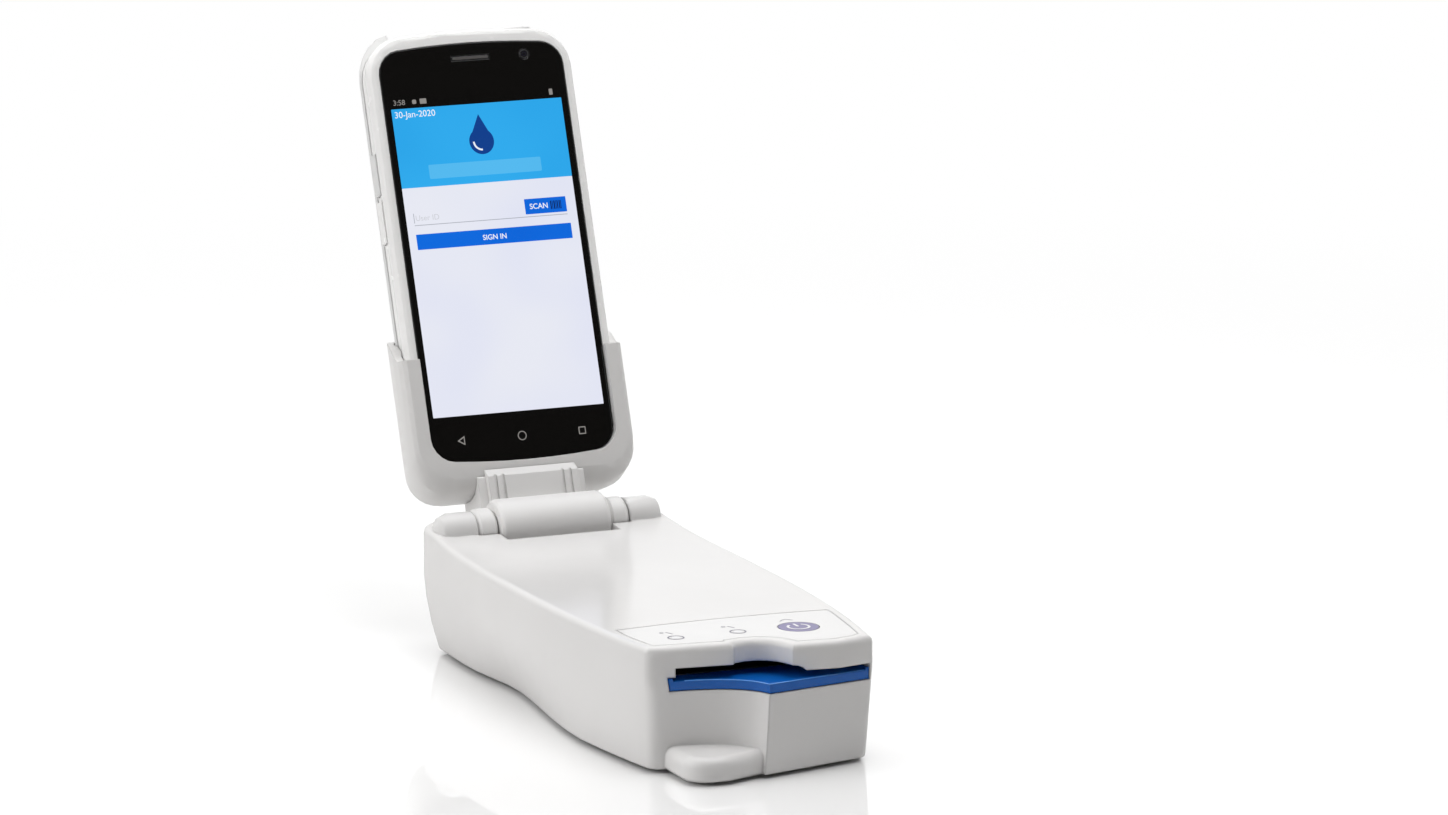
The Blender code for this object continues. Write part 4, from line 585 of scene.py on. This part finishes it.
def light_marks(number, x, y, level):
    """The ring, the window, the short stroke and the dot of one light."""
    ring = ring_mesh(x, y, LIGHT_RING_RADIUS, LIGHT_RING_WIDTH, -level, SKIN / 2, UPWARD)
    piece(f"light_ring_{number}", ring, MARK, "reader")
    radius = LIGHT_WINDOW_RADIUS
    window = rounded_box(x - radius, y - radius, x + radius, y + radius, radius, 8)
    piece(f"light_window_{number}", slab(window, -level, SKIN / 2, UPWARD), PIPE, "reader")
    tail = [(x + a, y + b) for a, b in LIGHT_TAIL]
    ribbon(f"light_mark_{number}", tail, LIGHT_TAIL_WIDTH, level, MARK)
    dot = ring_mesh(x + LIGHT_DOT[0], y + LIGHT_DOT[1], LIGHT_DOT_RADIUS, LIGHT_DOT_WIDTH,
                    -level, SKIN / 2, UPWARD, segments=20)
    piece(f"light_dot_{number}", dot, MARK, "reader")


def controls():
    """The film's edge, the power symbol, and the marks of the lights and the button."""
    low = FILM_TOP + SKIN * PRINT_LEVEL
    high = FILM_TOP + SKIN * SYMBOL_LEVEL
    rear, side = film_edge()
    turn = bend_points(rear[-1], side[0], side[1])
    ribbon("film_line_rear", rear + turn, REAR_LINE_WIDTH, low, CREASE)
    ribbon("film_line_side", [turn[-1]] + side[1:], SIDE_LINE_WIDTH, low, CREASE)

    x, y = POWER_PLACE
    ring = ring_mesh(x, y, POWER_RADIUS, POWER_WIDTH, -high, SKIN, UPWARD, segments=48,
                     gap=POWER_GAP)
    piece("power_ring", ring, PRINT_WHITE, "power_button_body")
    bar = rounded_box(x - POWER_BAR_HALF, y + POWER_BAR_LOW, x + POWER_BAR_HALF,
                      y + POWER_BAR_HIGH, POWER_BAR_CORNER, 4)
    piece("power_bar", slab(bar, -high, SKIN, UPWARD), PRINT_WHITE, "power_button_body")
    for index, place in enumerate(LIGHT_PLACES):
        light_marks(index + 1, *place, low)
    arc = [(x + ARC_PLACE[0] + ARC_LENGTH * step / ARC_STEPS,
            y + ARC_PLACE[1] + ARC_RISE * math.sin(step / ARC_STEPS * math.pi))
           for step in range(ARC_STEPS + 1)]
    ribbon("power_mark", arc, ARC_WIDTH, low, MARK)


# ---------------------------------------------------------------- small details

# Cross recesses and turned lips of the screws
BASE_SCREWS = 4
BASE_DRIVE_REACH = 0.0013
BASE_LIP_RADIUS = 0.0023
CRADLE_DRIVE_REACH = 0.0012
CRADLE_LIP_RADIUS = 0.0021
DRIVE_HALF = 0.0003
LIP_WIDTH = 0.0003

# The speaker mesh, inset in its opening, and the lenses' rings as shares of their radius
MESH_SIDE = 0.0002
MESH_END = 0.00015
MESH_CORNER = 0.0004
RIM_SHARE, RIM_WIDTH_SHARE = 0.86, 0.22
IRIS_SHARE, IRIS_WIDTH_SHARE = 0.40, 0.16

# The bead along the bezel's front edge, whose lighter blue is a painted highlight
BEZEL_SHELF = 0.0295
SHELF_TOLERANCE = 2e-5
BEAD_LEFT = -0.0290
BEAD_RIGHT = 0.0331
BEAD_REAR = -0.1215
BEAD_INSET = 0.00045
BEAD_WIDTH = 0.0008
BEAD_HEIGHT = 0.00022
BEAD_STEPS = 8

# Grip ribs and the opening arrow on the battery cover
RIB_COUNT = 5
RIB_START = 0.006
RIB_PITCH = 0.0026
RIB_HALF_LENGTH = 0.0090
RIB_HALF_WIDTH = 0.0005
RIB_CORNER = 0.00045
RIB_STAND = 0.0003
RIB_THICK = 0.0004
RIB_BEVEL = 0.00012
ARROW_TIP = 0.0225
ARROW = ((0.0, 0.0), (0.0034, 0.0042), (0.0016, 0.0042), (0.0016, 0.0085), (-0.0016, 0.0085),
         (-0.0016, 0.0042), (-0.0034, 0.0042))


def leaned_box(name):
    """A node's lowest and highest corners in the host's own leaned frame."""
    turn = LEANED.inverted()
    spots = [turn @ vertex.co for vertex in NODES[name].data.vertices]
    low = [min(spot[i] for spot in spots) for i in range(3)]
    high = [max(spot[i] for spot in spots) for i in range(3)]
    return low, high


def cross(x, z, reach, half):
    """The outline of a cross recess."""
    return [(x + a, z + b) for a, b in (
        (half, half), (half, reach), (-half, reach), (-half, half), (-reach, half),
        (-reach, -half), (-half, -half), (-half, -reach), (half, -reach), (half, -half),
        (reach, -half), (reach, half))]


def drive(kind, mark, x, z, reach, lip, front, place, body):
    """A cross recess and a turned lip on one screw."""
    recess = slab(cross(x, z, reach, DRIVE_HALF), front, SKIN, place)
    piece(f"{kind}_drive_{mark}", recess, DARK, body)
    ring = ring_mesh(x, z, lip, LIP_WIDTH, front, SKIN, place, segments=32)
    piece(f"{kind}_lip_{mark}", ring, STEEL, body)


def drives():
    """The drives of the base screws and the cradle's back screws."""
    for number in range(1, BASE_SCREWS + 1):
        low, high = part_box(f"base_screw_{number}")
        x, y = (low[0] + high[0]) / 2, (low[1] + high[1]) / 2
        drive("base", number, x, -y, BASE_DRIVE_REACH, BASE_LIP_RADIUS, low[2] - SKIN,
              DOWNWARD, "reader")
    for side in ("left", "right"):
        low, high = leaned_box(f"cradle_screw_{side}")
        x, z = -(low[0] + high[0]) / 2, (low[2] + high[2]) / 2
        drive("cradle", side, x, z, CRADLE_DRIVE_REACH, CRADLE_LIP_RADIUS, -high[1] - SKIN,
              BACKWARD, "cradle")


def optics():
    """Speaker mesh, lens rims and the inner lenses of the cameras."""
    low, high = leaned_box("earpiece_grille")
    mesh = rounded_box(low[0] + MESH_SIDE, low[2] + MESH_END, high[0] - MESH_SIDE,
                       high[2] - MESH_END, MESH_CORNER, 4)
    piece("speaker_mesh", slab(mesh, low[1] - SKIN / 2, SKIN, LEANED), MESH, "host")
    for name, place in (("front_camera", LEANED), ("rear_camera", BACKWARD)):
        low, high = leaned_box(name)
        back = place is BACKWARD
        x = (low[0] + high[0]) / 2 * (-1 if back else 1)
        z = (low[2] + high[2]) / 2
        face = -high[1] if back else low[1]
        radius = (high[0] - low[0]) / 2
        rim = ring_mesh(x, z, radius * RIM_SHARE, radius * RIM_WIDTH_SHARE, face - SKIN,
                        SKIN * 1.5, place, segments=40)
        piece(name + "_rim", rim, RIM, "host")
        iris = ring_mesh(x, z, radius * IRIS_SHARE, radius * IRIS_WIDTH_SHARE, face - SKIN / 2,
                         SKIN, place, segments=32)
        piece(name + "_iris", iris, LENS, "host")


def bezel_bead_painted_highlight():
    """A low rounded bead along the bezel's front edge, in a lighter blue that is a painted
    highlight.
    """
    front = {}
    for vertex in NODES["slot_bezel"].data.vertices:
        x, y, z = vertex.co
        on_shelf = abs(z - BEZEL_SHELF) < SHELF_TOLERANCE
        if BEAD_LEFT < x < BEAD_RIGHT and y < BEAD_REAR and on_shelf:
            key = round(x, 4)
            front[key] = min(front.get(key, 0), y)
    path = [Vector((x, front[x] + BEAD_INSET)) for x in sorted(front)]
    mesh = bpy.data.meshes.new("bead")
    work = bmesh.new()
    rows = []
    for index, spot in enumerate(path):
        after = path[min(index + 1, len(path) - 1)]
        before = path[max(index - 1, 0)]
        along = (after - before).normalized()
        across = Vector((-along.y, along.x)) * (BEAD_WIDTH / 2)
        row = []
        for step in range(BEAD_STEPS + 1):
            angle = math.pi * step / BEAD_STEPS
            point = spot + across * math.cos(angle)
            rise = BEAD_HEIGHT * math.sin(angle)
            row.append(work.verts.new((point.x, point.y, BEZEL_SHELF + rise)))
        rows.append(row)
    join_rows(work, rows, closed=False)
    work.to_mesh(mesh)
    work.free()
    mesh.shade_smooth()
    piece("bezel_bead_painted_highlight", mesh, BEAD_HIGHLIGHT_BLUE, "reader")


def underside():
    """Grip ribs and an opening arrow on the battery cover."""
    low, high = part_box("battery_cover")
    for number in range(RIB_COUNT):
        y = low[1] + RIB_START + RIB_PITCH * number
        rib = rounded_box(-RIB_HALF_LENGTH, -y - RIB_HALF_WIDTH, RIB_HALF_LENGTH,
                          -y + RIB_HALF_WIDTH, RIB_CORNER, 4)
        plate = slab(rib, low[2] - RIB_STAND, RIB_THICK, DOWNWARD, RIB_BEVEL)
        piece(f"cover_rib_{number + 1}", plate, BASE, "reader")
    tip = -(low[1] + ARROW_TIP)
    arrow = slab([(x, tip - z) for x, z in ARROW], low[2] - SKIN, SKIN * 1.5, DOWNWARD)
    piece("cover_arrow", arrow, HOST_GREY, "reader")


# ---------------------------------------------------------------- studio

WHITE = (1, 1, 1)

# The soft world's colour, and its strength, which grows from the front to the back
SOFT_WHITE = (1.0, 0.995, 0.99)
SOFT_FROM, SOFT_TO = -0.8, 0.3
SOFT_LOW, SOFT_HIGH = 0.03, 0.58

# The one dark patch that mirrors see: its direction, its edge as a cosine, and its strength
DARK_SKY = (0.388, -0.813, 0.435)
PATCH_FROM, PATCH_TO = 0.955, 0.985
PATCH_STRENGTH = 0.03

# Each square lamp's name, place, aim, side, power, and whether mirrors see it
LAMPS = (
    ("key_left", (-1.3, 0.15, 0.75), (0, 0, 0.08), 1.1, 7.5, True),
    ("top_back", (0.1, 0.7, 1.3), (0, 0, 0.05), 1.2, 6, True),
    ("top_front", (0.3, -0.05, 1.4), (0, 0, 0.05), 1.1, 4.8, True),
    ("near_fill", (0.1, -0.16, 0.78), (0, 0.09, 0.1), 0.4, 1.7, False),
)

# The floor: what other rays see, what the camera sees near by, and where that fades to white
FLOOR_SIZE = 12
FLOOR_CELLS = 8
FLOOR_DROP = 0.0002
FLOOR_MATTE = (0.80, 0.797, 0.795)
FLOOR_GAIN = 0.62
FLOOR_SHINE = 0.40
FLOOR_SHINE_ROUGHNESS = 0.03
FADE_FROM, FADE_TO = 0.35, 0.9


def surround():
    """White to the camera, soft to the surfaces, and white with a dark patch to mirrors."""
    scene = bpy.context.scene
    scene.view_settings.view_transform = "Standard"
    world = bpy.data.worlds.new("studio")
    scene.world = world
    world.use_nodes = True
    tree = world.node_tree
    tree.nodes.clear()
    place = add(tree, "ShaderNodeTexCoord")

    split = add(tree, "ShaderNodeSeparateXYZ")
    tree.links.new(place.outputs["Generated"], split.inputs[0])
    growth = mapped(tree, split.outputs["Y"], SOFT_FROM, SOFT_TO, SOFT_LOW, SOFT_HIGH,
                    interpolation_type="SMOOTHSTEP")
    soft = colored(tree, "ShaderNodeBackground", SOFT_WHITE)
    tree.links.new(growth, soft.inputs["Strength"])

    toward = add(tree, "ShaderNodeVectorMath", operation="DOT_PRODUCT")
    toward.inputs[1].default_value = DARK_SKY
    tree.links.new(place.outputs["Generated"], toward.inputs[0])
    patch = mapped(tree, toward.outputs["Value"], PATCH_FROM, PATCH_TO, 1.0, PATCH_STRENGTH,
                   interpolation_type="SMOOTHSTEP")
    mirror = colored(tree, "ShaderNodeBackground", WHITE)
    tree.links.new(patch, mirror.inputs["Strength"])

    seen = colored(tree, "ShaderNodeBackground", WHITE)
    seen.inputs["Strength"].default_value = 1.0
    path = add(tree, "ShaderNodeLightPath")
    clear = add(tree, "ShaderNodeMath", operation="MAXIMUM")
    tree.links.new(path.outputs["Is Camera Ray"], clear.inputs[0])
    tree.links.new(path.outputs["Is Transmission Ray"], clear.inputs[1])
    around = blend(tree, path.outputs["Is Glossy Ray"], soft.outputs[0], mirror.outputs[0])
    final = blend(tree, clear.outputs[0], around, seen.outputs[0])
    tree.links.new(final, add(tree, "ShaderNodeOutputWorld").inputs["Surface"])


def lamps():
    for name, place, aim, size, power, glossy in LAMPS:
        data = bpy.data.lights.new(name, "AREA")
        data.shape = "SQUARE"
        data.size = size
        data.energy = power
        thing = bpy.data.objects.new(name, data)
        bpy.context.scene.collection.objects.link(thing)
        thing.location = place
        aimed = (Vector(aim) - Vector(place)).to_track_quat("-Z", "Y")
        thing.rotation_euler = aimed.to_euler()
        thing.visible_glossy = glossy


def floor_material():
    """Plain pale matte, but to the camera matte with a soft mirror, fading to white."""
    material = bpy.data.materials.new("floor_white")
    material.use_nodes = True
    tree = material.node_tree
    tree.nodes.clear()
    matte = colored(tree, "ShaderNodeBsdfDiffuse", FLOOR_MATTE)

    bright = colored(tree, "ShaderNodeBsdfDiffuse", (FLOOR_GAIN,) * 3)
    shine = colored(tree, "ShaderNodeBsdfGlossy", (FLOOR_SHINE,) * 3)
    shine.inputs["Roughness"].default_value = FLOOR_SHINE_ROUGHNESS
    both = add(tree, "ShaderNodeAddShader")
    tree.links.new(bright.outputs[0], both.inputs[0])
    tree.links.new(shine.outputs[0], both.inputs[1])

    spot = add(tree, "ShaderNodeTexCoord")
    reach = add(tree, "ShaderNodeVectorMath", operation="LENGTH")
    tree.links.new(spot.outputs["Object"], reach.inputs[0])
    fade = mapped(tree, reach.outputs["Value"], FADE_FROM, FADE_TO, 0.0, 1.0,
                  interpolation_type="SMOOTHSTEP")
    far = colored(tree, "ShaderNodeEmission", WHITE)
    open_floor = blend(tree, fade, both.outputs[0], far.outputs[0])

    path = add(tree, "ShaderNodeLightPath")
    final = blend(tree, path.outputs["Is Camera Ray"], matte.outputs[0], open_floor)
    tree.links.new(final, add(tree, "ShaderNodeOutputMaterial").inputs["Surface"])
    return material


def lay_floor():
    mesh = bpy.data.meshes.new("floor")
    work = bmesh.new()
    bmesh.ops.create_grid(work, x_segments=FLOOR_CELLS, y_segments=FLOOR_CELLS, size=FLOOR_SIZE)
    work.to_mesh(mesh)
    work.free()
    floor = bpy.data.objects.new("floor", mesh)
    bpy.context.scene.collection.objects.link(floor)
    floor.location.z = -FLOOR_DROP
    mesh.materials.append(floor_material())


# The photograph's viewpoint: where it looks, from where, and its focal length in pixels
AZIMUTH = math.radians(23.331)
ELEVATION = math.radians(11.765)
CAMERA_PLACE = Vector((-1.1194, -2.7459, 0.6997)) + Vector((0, HINGE.y, 0))
FOCAL_PIXELS = 9000
PHOTO_WIDTH = 1448
FOCAL_SHARE = FOCAL_PIXELS / PHOTO_WIDTH
SENSOR = 36
CLIP_END = 100


def camera():
    data = bpy.data.cameras.new("photo_view")
    data.sensor_width = SENSOR
    data.lens = SENSOR * FOCAL_SHARE
    data.clip_end = CLIP_END
    thing = bpy.data.objects.new("photo_view", data)
    bpy.context.scene.collection.objects.link(thing)
    thing.location = CAMERA_PLACE
    view = Vector((math.sin(AZIMUTH) * math.cos(ELEVATION),
                   math.cos(AZIMUTH) * math.cos(ELEVATION), -math.sin(ELEVATION)))
    thing.rotation_euler = view.to_track_quat("-Z", "Y").to_euler()
    bpy.context.scene.camera = thing


dress_nodes()
screen()
controls()
drives()
optics()
bezel_bead_painted_highlight()
underside()
surround()
lamps()
lay_floor()
camera()
